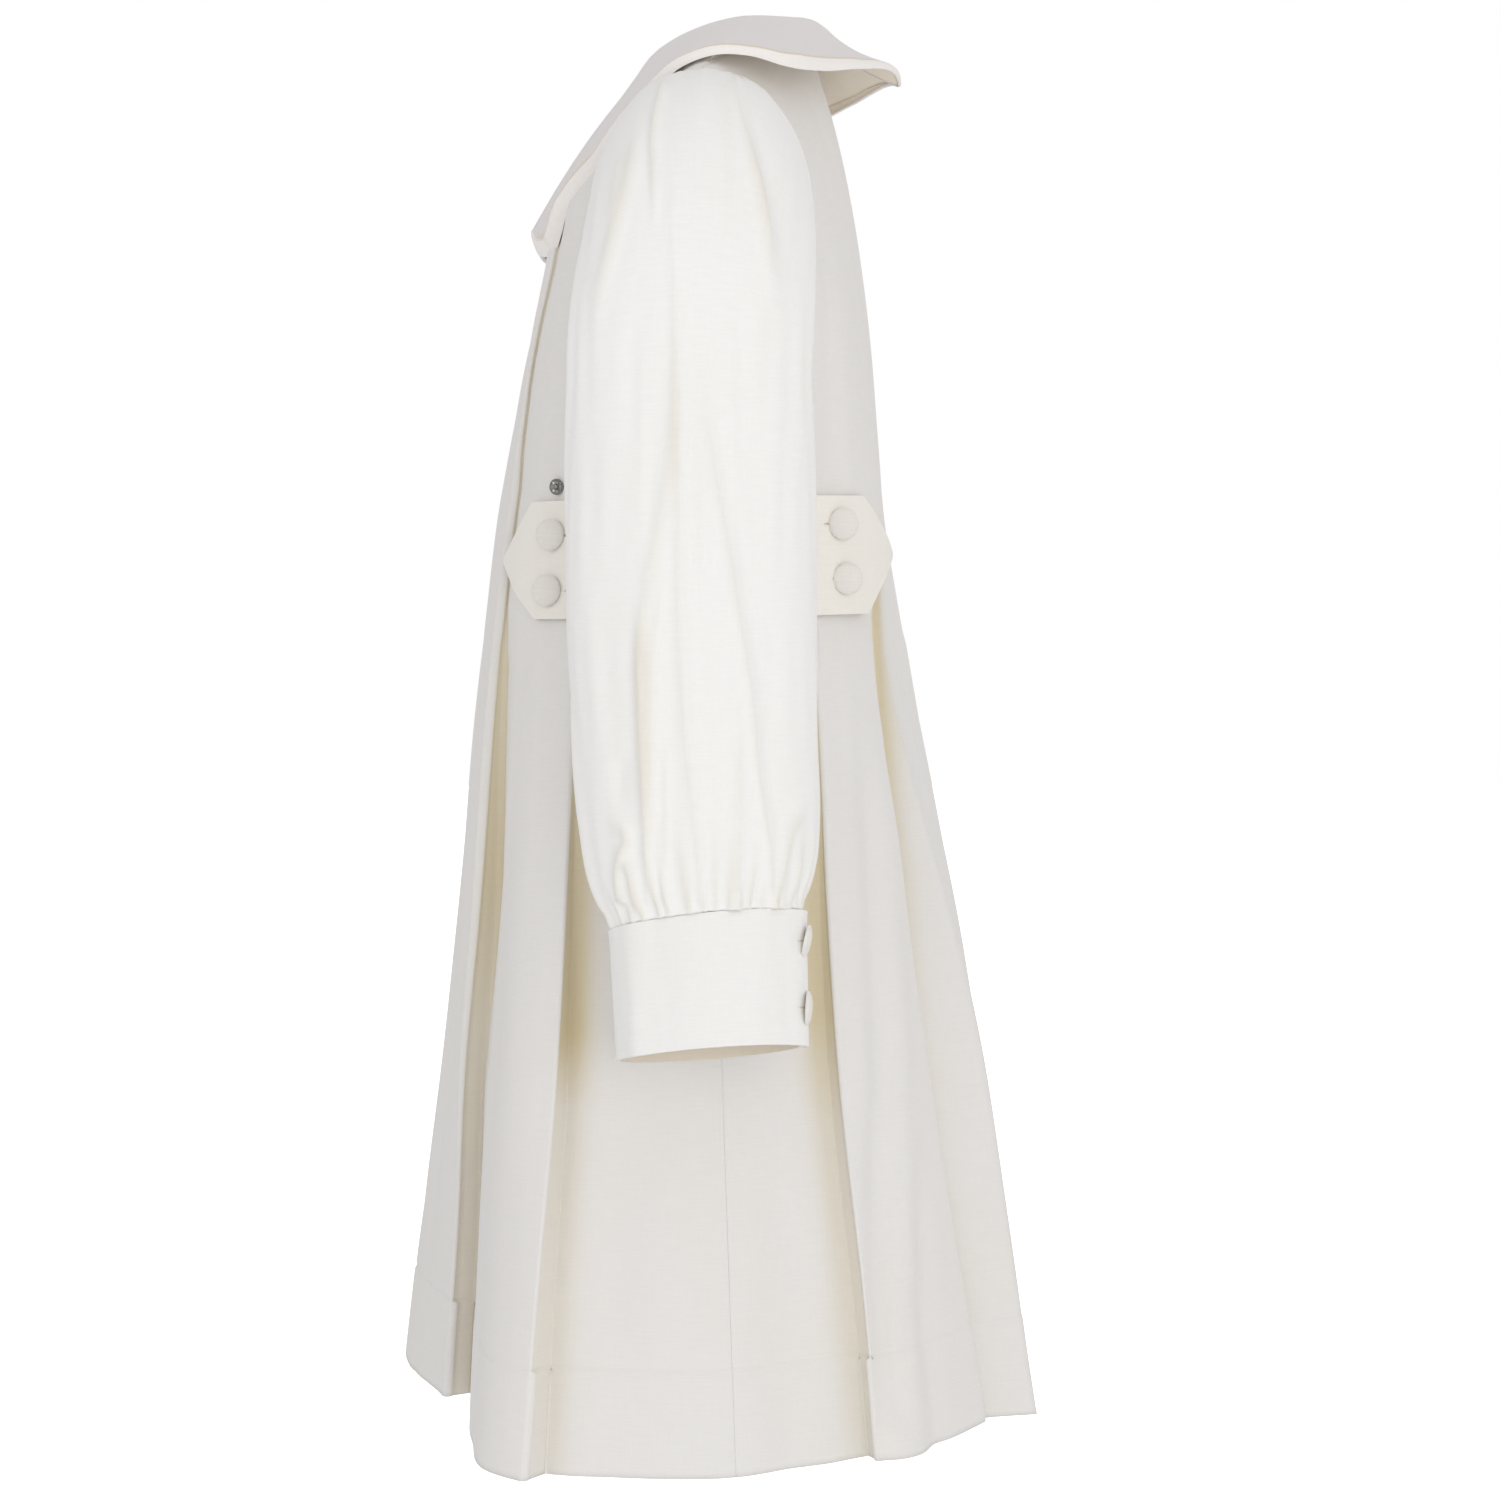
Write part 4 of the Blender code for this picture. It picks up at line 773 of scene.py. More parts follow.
def press(points, creases):
    """How far creases lift points that are given as a side sees them, (..., 2)."""
    flat = points.reshape(-1, 2)
    total = np.zeros(len(flat))
    for kind, depth, half_width, full_start, full_end, *line in creases:
        line = along_string(line, np.linspace(0.0, 1.0, CREASE_POINTS))
        reach = half_width * CREASE_REACH
        low, high = line.min(axis=0) - reach, line.max(axis=0) + reach
        near = np.flatnonzero(((flat > low) & (flat < high)).all(axis=1))
        spots = flat[near]
        best = np.full(len(near), np.inf)
        share = np.zeros(len(near))
        side = np.zeros(len(near))
        for number, (start, end) in enumerate(zip(line[:-1], line[1:])):
            way = end - start
            length = np.linalg.norm(way)
            part = np.clip((spots - start) @ way / length ** 2, 0.0, 1.0)
            off = spots - start - part[:, None] * way
            distance = np.linalg.norm(off, axis=1)
            closer = distance < best
            best[closer] = distance[closer]
            share[closer] = (number + part[closer]) / (len(line) - 1)
            side[closer] = np.sign(way[0] * off[closer, 1] - way[1] * off[closer, 0])
        across = best / half_width
        lift = -np.exp(-across * across)
        if kind == "crease":
            beside = (across * side - 2.6) / 1.7
            lift = -np.exp(-across ** 1.4) + 0.55 * np.exp(-beside * beside)
        elif kind == "ridge":
            lift = -lift
        strength = 1.0 if full_start else ease(share / CREASE_START)
        strength = strength * (1.0 if full_end else ease((1.0 - share) / CREASE_END))
        total[near] += depth * lift * strength
    return total.reshape(points.shape[:-1])


def varied(creases, seed):
    """The same creases a little elsewhere, as they lie on the dress's other side."""
    random = np.random.default_rng(seed)
    made = []
    for kind, depth, half_width, full_start, full_end, *line in creases:
        aside = random.uniform(-0.005, 0.005)
        lean = random.uniform(-0.02, 0.02)
        drop = random.uniform(-0.012, 0.012)
        if full_start or full_end:
            drop = 0.0
        top = line[0][1]
        moved = [(place + aside + lean * (z - top), z + drop) for place, z in line]
        made.append((kind, depth * random.uniform(0.7, 1.25),
                     half_width * random.uniform(0.85, 1.2), full_start, full_end, *moved))
    return made


def waves(turns, heights, seed):
    """Slow unevenness of hanging cloth over angle and height, within about -1 and 1."""
    random = np.random.default_rng(seed)
    total = np.zeros(np.broadcast(turns, heights).shape)
    for count, tall in ((5, 0.6), (9, 0.42), (14, 0.3), (22, 0.2)):
        phase, shift, lean = random.uniform(0, 2 * math.pi, 3)
        total += np.sin(count * turns + phase + np.sin(lean) * heights / 0.15) * np.sin(
            2 * math.pi * heights / tall + shift) * 0.35
    return total


def normals_of(rows, closed=False):
    """Outward ways of a grid of points, from its neighbours."""
    if closed:
        across = np.roll(rows, -1, axis=1) - np.roll(rows, 1, axis=1)
    else:
        across = np.gradient(rows, axis=1)
    up = np.gradient(rows, axis=0)
    return unit(np.cross(across, up))


def grid_mesh(name, rows, closed=False, flip=False, painted_shade_mask=None):
    """A mesh of four-sided faces over rows of points, with its cloth coordinates in metres."""
    height, width = rows.shape[:2]
    spans = width if closed else width - 1
    numbers = np.arange(height * width).reshape(height, width)
    following = np.roll(numbers, -1, axis=1)
    faces = np.stack([numbers[:-1, :spans], following[:-1, :spans], following[1:, :spans],
                      numbers[1:, :spans]], axis=-1).reshape(-1, 4)
    if flip:
        faces = faces[:, ::-1]
    mesh = bpy.data.meshes.new(name)
    mesh.from_pydata(rows.reshape(-1, 3).tolist(), [], faces.tolist())
    steps = np.linalg.norm(np.diff(rows, axis=1), axis=-1).mean(axis=0)
    across = np.concatenate([[0.0], np.cumsum(steps)])
    if closed:
        last = np.linalg.norm(rows[:, 0] - rows[:, -1], axis=-1).mean()
        across = np.append(across, across[-1] + last)
    rises = np.linalg.norm(np.diff(rows, axis=0), axis=-1).mean(axis=1)
    along = np.concatenate([[0.0], np.cumsum(rises)])
    left, right, low, high = across[:-1], across[1:], along[:-1], along[1:]
    u = np.stack([left, right, right, left], axis=-1)
    v = np.stack([low, low, high, high], axis=-1)
    shape = (height - 1, spans, 4)
    flat = np.stack([np.broadcast_to(u[None], shape), np.broadcast_to(v[:, None], shape)],
                    axis=-1).reshape(-1, 4, 2)
    if flip:
        flat = flat[:, ::-1]
    layer = mesh.uv_layers.new(name="cloth")
    layer.uv.foreach_set("vector", flat.astype(np.float32).ravel())
    # A mask per point of shade painted into the cloth, for its material to mix in
    shade = mesh.attributes.new("painted_shade_mask", "FLOAT", "POINT")
    values = np.zeros(height * width) if painted_shade_mask is None else painted_shade_mask.reshape(-1)
    shade.data.foreach_set("value", values.astype(np.float32))
    mesh.shade_smooth()
    return mesh


def mirrored(rows):
    return rows * np.array([-1.0, 1.0, 1.0])


def add_object(name, data):
    made = bpy.data.objects.new(name, data)
    bpy.context.scene.collection.objects.link(made)
    return made


def add_piece(name, mesh, finish, node):
    """A piece of the dress that stands for a CAD node and rides with it."""
    mesh.materials.append(finish)
    piece = add_object(name, mesh)
    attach(piece, BODY)
    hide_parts(node)
    return piece


def add_sheet(kind, word, rows, finish, painted_shade_mask, closed=False):
    """The left or right one of two like sheets of cloth, over a left one's rows of points."""
    right = word == "right"
    name = f"{kind}_{word}_cloth"
    mesh = grid_mesh(name, mirrored(rows) if right else rows, closed, right, painted_shade_mask)
    return add_piece(name, mesh, finish, f"{kind}_{word}")


def thicken(piece, thickness, group=None):
    """Give an open surface the thickness of its cloth, inward."""
    solid = piece.modifiers.new("cloth thickness", "SOLIDIFY")
    solid.thickness = thickness
    solid.offset = -1.0
    solid.use_even_offset = False
    solid.use_quality_normals = True
    if group:
        solid.vertex_group = group
    return solid


def lay_flat(rows, closed=False):
    """Work out the cut of a sheet, flat: widest row, longest column and area, none of them kept.
    """
    around = np.concatenate([rows, rows[:, :1]], axis=1) if closed else rows
    width = np.linalg.norm(np.diff(around, axis=1), axis=-1).sum(axis=1).max()
    length = np.linalg.norm(np.diff(around, axis=0), axis=-1).sum(axis=0).max()
    first = around[1:, 1:] - around[:-1, :-1]
    second = around[1:, :-1] - around[:-1, 1:]
    area = np.linalg.norm(np.cross(first, second), axis=-1).sum() / 2
    area = min(area, width * length)


def line_inside(solid, piece):
    """Show the piece's inner face in its lining's tone, made yellower to paint the shade inside.
    """
    solid.material_offset = len(piece.data.materials)
    for _ in range(solid.material_offset):
        piece.data.materials.append(shaded_lining_wool)


# Materials

def new_group(name, inputs, outputs):
    """A shader node group with named sockets, its inputs' kinds and values given."""
    group = bpy.data.node_groups.new(name, "ShaderNodeTree")
    for socket, kind, value in inputs:
        made = group.interface.new_socket(socket, in_out="INPUT", socket_type=kind)
        made.default_value = value
    for socket, kind in outputs:
        group.interface.new_socket(socket, in_out="OUTPUT", socket_type=kind)
    return group, group.nodes.new("NodeGroupInput"), group.nodes.new("NodeGroupOutput")


def add_node(tree, kind, settings=(), values=()):
    node = tree.nodes.new(kind)
    for name, value in dict(settings).items():
        setattr(node, name, value)
    for name, value in dict(values).items():
        node.inputs[name].default_value = value
    return node


def join(tree, *pairs):
    """Join sockets, each pair as a node, its output, the next node and its input."""
    for source, given, target, taken in pairs:
        tree.links.new(source.outputs[given], target.inputs[taken])


def new_material(name, values):
    """A new material, with values set on its shader, and its tree and shader."""
    made = bpy.data.materials.new(name)
    made.use_nodes = True
    shader = made.node_tree.nodes["Principled BSDF"]
    for socket, value in values.items():
        shader.inputs[socket].default_value = value
    return made, made.node_tree, shader


def make_weave_group():
    """Wool weave from cloth coordinates: its height, and a mask of its paler threads."""
    group, given, result = new_group(
        "wool weave",
        (("Threads", "NodeSocketFloat", 900.0), ("Weft", "NodeSocketFloat", 0.5),
         ("Nap", "NodeSocketFloat", 0.5)),
        (("Height", "NodeSocketFloat"), ("Threads", "NodeSocketFloat")))
    cloth = add_node(group, "ShaderNodeUVMap", {"uv_map": "cloth"})
    weft_scale = add_node(group, "ShaderNodeVectorMath", {"operation": "MULTIPLY"},
                          {1: (0.055, 1.0, 1.0)})
    warp_scale = add_node(group, "ShaderNodeVectorMath", {"operation": "MULTIPLY"},
                          {1: (1.0, 0.06, 1.0)})
    weft = add_node(group, "ShaderNodeTexNoise", values={"Detail": 2.0, "Roughness": 0.6})
    warp = add_node(group, "ShaderNodeTexNoise", values={"Detail": 2.0, "Roughness": 0.6})
    nap = add_node(group, "ShaderNodeTexNoise", values={"Detail": 3.0, "Roughness": 0.7})
    nap_scale = add_node(group, "ShaderNodeMath", {"operation": "MULTIPLY"}, {1: 0.8})
    threads = add_node(group, "ShaderNodeMix", {"data_type": "FLOAT"})
    height = add_node(group, "ShaderNodeMix", {"data_type": "FLOAT"})
    join(group, (cloth, "UV", weft_scale, 0), (cloth, "UV", warp_scale, 0),
         (weft_scale, 0, weft, "Vector"), (warp_scale, 0, warp, "Vector"),
         (cloth, "UV", nap, "Vector"), (given, "Threads", weft, "Scale"),
         (given, "Threads", warp, "Scale"), (given, "Threads", nap_scale, 0),
         (nap_scale, 0, nap, "Scale"), (given, "Weft", threads, "Factor"),
         (warp, "Fac", threads, "A"), (weft, "Fac", threads, "B"),
         (given, "Nap", height, "Factor"), (threads, "Result", height, "A"),
         (nap, "Fac", height, "B"), (height, "Result", result, "Height"),
         (threads, "Result", result, "Threads"))
    return group


def make_tone_group():
    """Slow changes of colour over the cloth, and the shade painted into its folds and slits."""
    group, given, result = new_group(
        "cloth tone and painted shade",
        (("Cloth", "NodeSocketColor", (0.8, 0.8, 0.8, 1.0)),
         ("Aged", "NodeSocketColor", (0.8, 0.75, 0.65, 1.0)),
         ("Painted shade", "NodeSocketColor", (0.7, 0.6, 0.4, 1.0)),
         ("Patches", "NodeSocketFloat", 0.3), ("Threads", "NodeSocketFloat", 0.5),
         ("Thread contrast", "NodeSocketFloat", 0.1)),
        (("Color", "NodeSocketColor"),))
    place = add_node(group, "ShaderNodeTexCoord")
    patches = add_node(group, "ShaderNodeTexNoise", values={"Scale": 7.0, "Detail": 3.0})
    spread = add_node(group, "ShaderNodeMapRange",
                      values={"From Min": 0.38, "From Max": 0.68, "To Min": 0.0, "To Max": 1.0})
    amount = add_node(group, "ShaderNodeMath", {"operation": "MULTIPLY"})
    aged = add_node(group, "ShaderNodeMix", {"data_type": "RGBA"})
    # The mask of painted shade mixes the cloth's colour towards the tone of painted shade
    painted_shade_mask = add_node(group, "ShaderNodeAttribute", {"attribute_name": "painted_shade_mask"})
    painted_deep_shade = add_node(group, "ShaderNodeMix", {"data_type": "RGBA"})
    thread = add_node(group, "ShaderNodeMath", {"operation": "SUBTRACT"}, {1: 0.5})
    strength = add_node(group, "ShaderNodeMath", {"operation": "MULTIPLY"})
    factor = add_node(group, "ShaderNodeMath", {"operation": "ADD"}, {1: 1.0})
    final = add_node(group, "ShaderNodeVectorMath", {"operation": "SCALE"})
    join(group, (place, "Object", patches, "Vector"), (patches, "Fac", spread, "Value"),
         (spread, "Result", amount, 0), (given, "Patches", amount, 1),
         (amount, 0, aged, "Factor"), (given, "Cloth", aged, "A"), (given, "Aged", aged, "B"),
         (painted_shade_mask, "Fac", painted_deep_shade, "Factor"), (aged, "Result", painted_deep_shade, "A"), (given, "Painted shade", painted_deep_shade, "B"),
         (given, "Threads", thread, 0), (thread, 0, strength, 0),
         (given, "Thread contrast", strength, 1), (strength, 0, factor, 0),
         (painted_deep_shade, "Result", final, 0), (factor, 0, final, "Scale"), (final, 0, result, "Color"))
    return group


WEAVE = make_weave_group()
TONE_AND_SHADE = make_tone_group()


def wool(name, cloth, aged, painted_deep_shade, patches=0.4, threads=1000.0, weft=0.6, nap=0.45,
         contrast=0.12, bump=0.35, depth=0.0006, roughness=0.88, sheen=0.25):
    """A woven wool finish of its own colour, thread count, nap and sheen."""
    made, tree, shader = new_material(name, {
        "Roughness": roughness, "Sheen Weight": sheen, "Sheen Roughness": 0.5,
        "Specular IOR Level": 0.25})
    weave = add_node(tree, "ShaderNodeGroup", {"node_tree": WEAVE},
                     {"Threads": threads, "Weft": weft, "Nap": nap})
    tone = add_node(tree, "ShaderNodeGroup", {"node_tree": TONE_AND_SHADE},
                    {"Cloth": (*cloth, 1.0), "Aged": (*aged, 1.0), "Painted shade": (*painted_deep_shade, 1.0),
                     "Patches": patches, "Thread contrast": contrast})
    bumps = add_node(tree, "ShaderNodeBump", values={"Strength": bump, "Distance": depth})
    join(tree, (weave, "Threads", tone, "Threads"), (tone, "Color", shader, "Base Color"),
         (weave, "Height", bumps, "Height"), (bumps, "Normal", shader, "Normal"))
    return made


IVORY = (0.8, 0.785, 0.765)
AGED = (0.8, 0.775, 0.725)
# Tone of the shade painted into pleats, creases, gathers and slits
PAINTED_SHADE_TONE = (0.66, 0.575, 0.39)

dress_wool = wool("dress wool", IVORY, AGED, PAINTED_SHADE_TONE)
sleeve_wool = wool("sleeve wool", (0.905, 0.9, 0.882), (0.89, 0.876, 0.848), PAINTED_SHADE_TONE, patches=0.3)
cuff_wool = wool("cuff wool", (0.88, 0.874, 0.855), (0.868, 0.85, 0.818), PAINTED_SHADE_TONE)
collar_wool = wool("collar wool", (0.8, 0.765, 0.76), (0.79, 0.745, 0.735), PAINTED_SHADE_TONE)
# The collar's rim: the collar's cloth painted lighter where it faces the light, with its own shade
# tone
lit_rim_wool = wool("collar rim wool painted lighter", (0.92, 0.89, 0.86), (0.905, 0.865, 0.815),
                (0.8, 0.61, 0.43))
tab_wool = wool("tab wool", (0.885, 0.862, 0.8), (0.85, 0.815, 0.745), PAINTED_SHADE_TONE, threads=800.0)
# Lining of the inner faces, made yellower to paint the shade inside cuffs and under the collar
shaded_lining_wool = wool("lining wool with painted shade", (0.93, 0.85, 0.73), (0.91, 0.815, 0.68), PAINTED_SHADE_TONE)
button_wool = wool("button wool", (0.82, 0.795, 0.75), AGED, PAINTED_SHADE_TONE, threads=650.0,
                   contrast=0.25, bump=0.6)


def make_stud_metal():
    made, tree, shader = new_material("darkened stud metal", {"Metallic": 1.0})
    place = add_node(tree, "ShaderNodeTexCoord")
    wear = add_node(tree, "ShaderNodeTexNoise", values={"Scale": 900.0, "Detail": 3.0})
    colour = add_node(tree, "ShaderNodeMix", {"data_type": "RGBA"},
                      {"A": (0.1, 0.1, 0.1, 1.0), "B": (0.34, 0.33, 0.31, 1.0)})
    rough = add_node(tree, "ShaderNodeMapRange", values={"To Min": 0.25, "To Max": 0.5})
    join(tree, (place, "Object", wear, "Vector"), (wear, "Fac", colour, "Factor"),
         (wear, "Fac", rough, "Value"), (colour, "Result", shader, "Base Color"),
         (rough, "Result", shader, "Roughness"))
    return made


stud_metal = make_stud_metal()


# Front and back

def outward_ways(rows):
    """Level ways out from the middle of the dress."""
    ways = rows * np.array([1.0, BODY_ROUNDNESS, 0.0])
    return unit(ways - np.array([0.0, BODY_ROUNDNESS * BODY_MIDDLE_Y, 0.0]))


def shape_front(rows, line, from_top):
    """Set the front's cloth forward under the collar and back at its fold, and swell its yoke."""
    aside, depth = rows[..., 0], -rows[..., 2]
    share = ease((FORWARD_OUTER - aside) / FORWARD_FADE) * ease(aside / FORWARD_INNER)
    rows[..., 1] -= read_off(FRONT_FORWARD, depth) * share
    rows[..., 1] -= read_off(EDGE_FORWARD_LINES, line) * read_off(EDGE_FORWARD, depth)
    rows[..., 1] += read_off(FOLD_BACK_LINES, line) * read_off(FOLD_BACK, depth)
    near = ((rows[..., :2] - YOKE_SWELL_PLACE) / YOKE_SWELL_REACH) ** 2
    high = ease((rows[..., 2] + YOKE_SWELL_FOOT) / YOKE_SWELL_FADE)
    high = high * ease(from_top / YOKE_SWELL_ROWS)
    rows[..., 2] += YOKE_SWELL * np.exp(-near.sum(axis=-1)) * high


def panel_half(counts, first, seam_column, side):
    """One panel's half on one side of the body, with its creases."""
    rows = body_rows(counts, first)
    starts = np.concatenate([[0], np.cumsum(counts)])
    for low, high, passes in FRONT_SOFT if first == 0 else BACK_SOFT:
        rows = soften(rows, starts[low - first], starts[high - first], passes)
    line = np.add(*spread_columns(counts, first))
    from_top = np.arange(len(rows))[::-1, None]
    if first == 0:
        shape_front(rows, line, from_top)
    else:
        at_fold = line_names().index("back-panel fold")
        near = read_off([(at_fold + off, share) for off, share in FOLD_IN_LINES], line)
        rows[..., 1] -= near * read_off(FOLD_IN, -rows[..., 2])
    out = outward_ways(rows)
    heights = rows[..., 2]
    sideways = ease((out[..., 0] - SIDE_FROM) / SIDE_FADE)
    seed = 5 if side > 0 else 17
    creases = SIDE_CREASES if side > 0 else varied(SIDE_CREASES, seed)
    lift = press(rows[..., 1:], creases) * sideways
    facing = ease((np.abs(out[..., 1]) - FACING_FROM) / SIDE_FADE) * (1 - sideways)
    seen = rows[..., ::2] * np.array([side, 1.0])
    lift += press(seen, FRONT_CREASES if first == 0 else BACK_CREASES) * facing
    turns = np.arctan2(out[..., 1], out[..., 0] * side)
    under_tab = ease((TAB_CALM_REACH - np.abs(heights - TAB_MIDDLE_Z)) / TAB_CALM_FADE)
    hanging = ease((HANGING_Z - heights) / HANGING_FADE)
    lift += (waves(turns, heights, seed) * BODY_WAVES * (1 - WAVES_CALMED * under_tab)
             * hanging)
    lift = np.where(lift > 0, lift * (1 - RIDGES_CALMED * under_tab), lift)
    seam = rows[:, seam_column]
    from_seam = np.linalg.norm(rows - seam[:, None], axis=-1)
    lift = lift * ease(from_seam / SEAM_CALM) * ease(from_top / EDGE_CALM_ROWS)
    rows = rows + out * lift[..., None]
    neighbour = seam_column + (1 if seam_column == 0 else -1)
    seam = rows[:, seam_column]
    back_in = unit(rows[:, neighbour] - seam)
    rows[:, seam_column] = seam + back_in * SEAM_TOUCH
    normals = normals_of(rows)
    groove = rounded(HEM_GROOVE, heights - HEM_STITCH_Z)
    height, width = HEM_BAND
    band = ease((HEM_STITCH_Z - heights) / width) * height
    steps = np.linalg.norm(np.diff(rows, axis=0, append=rows[-1:]), axis=-1)
    from_edge = np.cumsum(steps[::-1], axis=0)[::-1]
    roll = np.maximum(rounded((SEAM_ROLL, SEAM_ROLL_WIDTH), from_seam),
                      rounded((SEAM_ROLL, SEAM_ROLL_WIDTH), from_edge))
    return rows + normals * (band - groove - roll)[..., None]


def painted_recess_shade_of(rows, counts, first):
    """Shade painted in the pleats on each point, 0 to 1, by how far into a pleat it lies."""
    line = np.add(*spread_columns(counts, first))
    names = line_names()
    along = np.cumsum(np.linalg.norm(np.diff(rows, axis=1, prepend=rows[:, :1]), axis=-1), axis=1)
    painted_deep_shade = np.zeros(rows.shape[:2])
    for fold, beside, _, _ in PLEATS:
        at_fold, at_beside = names.index(fold), names.index(beside)
        if not first <= at_beside <= first + len(counts):
            continue
        past = (line - at_fold) * (1 if at_beside > at_fold else -1)
        reach, strength = PAINTED_RECESS_SHADES[fold]
        column = np.abs(line - at_beside).argmin()
        away = np.abs(along - along[:, column:column + 1]) / max(reach, CRISP_REACH)
        inside = np.broadcast_to(ease((past - 0.45) / 0.5), painted_deep_shade.shape)
        found = np.where(past <= 3.0, inside, np.exp(-away ** 1.5))
        painted_deep_shade = np.maximum(painted_deep_shade, found * read_off(strength, -rows[..., 2]))
    return painted_deep_shade


def make_panel(name, counts, first, node, seam_column):
    """The front or the back: its left half and its right half, which has creases of its own."""
    left = panel_half(counts, first, seam_column, 1)
    right = panel_half(counts, first, seam_column, -1)
    # Shade painted inside the pleats
    shade = painted_recess_shade_of(left, counts, first)
    if seam_column == 0:
        rows = np.concatenate([left, mirrored(right)[:, -2::-1]], axis=1)
        shade = np.concatenate([shade, shade[:, -2::-1]], axis=1)
    else:
        rows = np.concatenate([mirrored(right)[:, ::-1], left[:, 1:]], axis=1)
        shade = np.concatenate([shade[:, ::-1], shade[:, 1:]], axis=1)
    mesh = grid_mesh(name, rows, painted_shade_mask=shade)
    panel = add_piece(name, mesh, dress_wool, node)
    group = panel.vertex_groups.new(name="cloth")
    thickness = (cloth_at(rows[..., 2]) / HEM_CLOTH).reshape(-1)
    for value in np.unique(thickness):
        group.add(np.flatnonzero(thickness == value).tolist(), float(value), "REPLACE")
    thicken(panel, HEM_CLOTH, group.name)
    lay_flat(rows)
    return panel


front = make_panel("front_cloth", FRONT_COLUMNS, 0, "front", sum(FRONT_COLUMNS))
back = make_panel("back_cloth", BACK_COLUMNS, len(FRONT_COLUMNS), "back", 0)


# Sleeves

def armhole(angles):
    """Points of the left armhole at the sleeve's angles, from the shoulder point down its front,
    round the underarm and up."""
    found = np.zeros((len(angles), 3))
    for low, high, start in ((SHOULDER_FRONT, UNDERARM, 0.0), (UNDERARM, SHOULDER_BACK, math.pi)):
        line, _ = upper_edge(np.linspace(low, high, 400))
        lengths = chord_places(line)
        here = (angles >= start) & (angles < start + math.pi)
        wanted = (angles[here] - start) / math.pi * lengths[-1]
        found[here] = np.stack([np.interp(wanted, lengths, axis) for axis in line.T], axis=1)
    return found


def sleeve_ring(ring, angles):
    """Points of one ring of the left sleeve, from outward round by the front."""
    z, centre_x, centre_y, half_depth, half_breadth, slope = ring
    x = centre_x + half_depth * np.cos(angles)
    y = centre_y - half_breadth * np.sin(angles)
    drop = SLEEVE_FRONT_DROP * min(slope / SLEEVE_FULL_SLOPE, 1.0)
    return np.stack([x, y, z + slope * (x - centre_x) + drop * (y - centre_y)], axis=-1)


def turned(angles, middle):
    """Angles from a middle one, within half a turn either way."""
    return np.arctan2(np.sin(angles - middle), np.cos(angles - middle))


def fold_depth(angles, z):
    """Depth of the hidden sides' long folds."""
    depth = np.zeros(np.broadcast(angles, z).shape)
    for top_angle, foot_angle, top_z, foot_z, full, half_width in SLEEVE_FOLDS:
        share = (top_z - z) / (top_z - foot_z)
        inside = np.clip(share, 0.0, 1.0)
        middle = np.radians(mix(top_angle, foot_angle, inside))
        across = turned(angles, middle) / math.radians(half_width)
        depth = depth + full * np.sin(math.pi * inside) ** 0.7 * np.exp(-across * across)
    return depth


def gathers(angles, drop, centres, depths, lengths, widths):
    """Small pleats that start at a seam and fade; drop is the distance from the seam."""
    total = np.zeros(np.broadcast(angles, drop).shape)
    for centre, depth, length, width in zip(centres, depths, lengths, widths):
        spread = width * (1.0 + 0.8 * np.clip(drop / length, 0.0, 1.0))
        across = turned(angles, centre) / spread
        fade = np.clip(1.0 - drop / length, 0.0, 1.0) ** 1.3
        hollow = np.exp(-np.abs(across) ** 1.6) - 0.3 * np.exp(-(across / 2.6) ** 2)
        total += depth * fade * hollow
    return total


def seam_gathers(random, angles, drop, centres, sizes):
    """Gathers along a seam, each near its centre and of a size at random."""
    wander, depths, lengths, widths = sizes
    count = len(centres)
    centres = centres + np.radians(random.uniform(-wander, wander, count))
    return gathers(angles, drop, centres, random.uniform(*depths, count),
                   random.uniform(*lengths, count), np.radians(random.uniform(*widths, count)))


def puffed(shape, drop):
    """How far cloth puffs out at a distance from its seam."""
    height, rise, fade = shape
    return height * ease(drop / rise) * np.exp(-drop / fade)


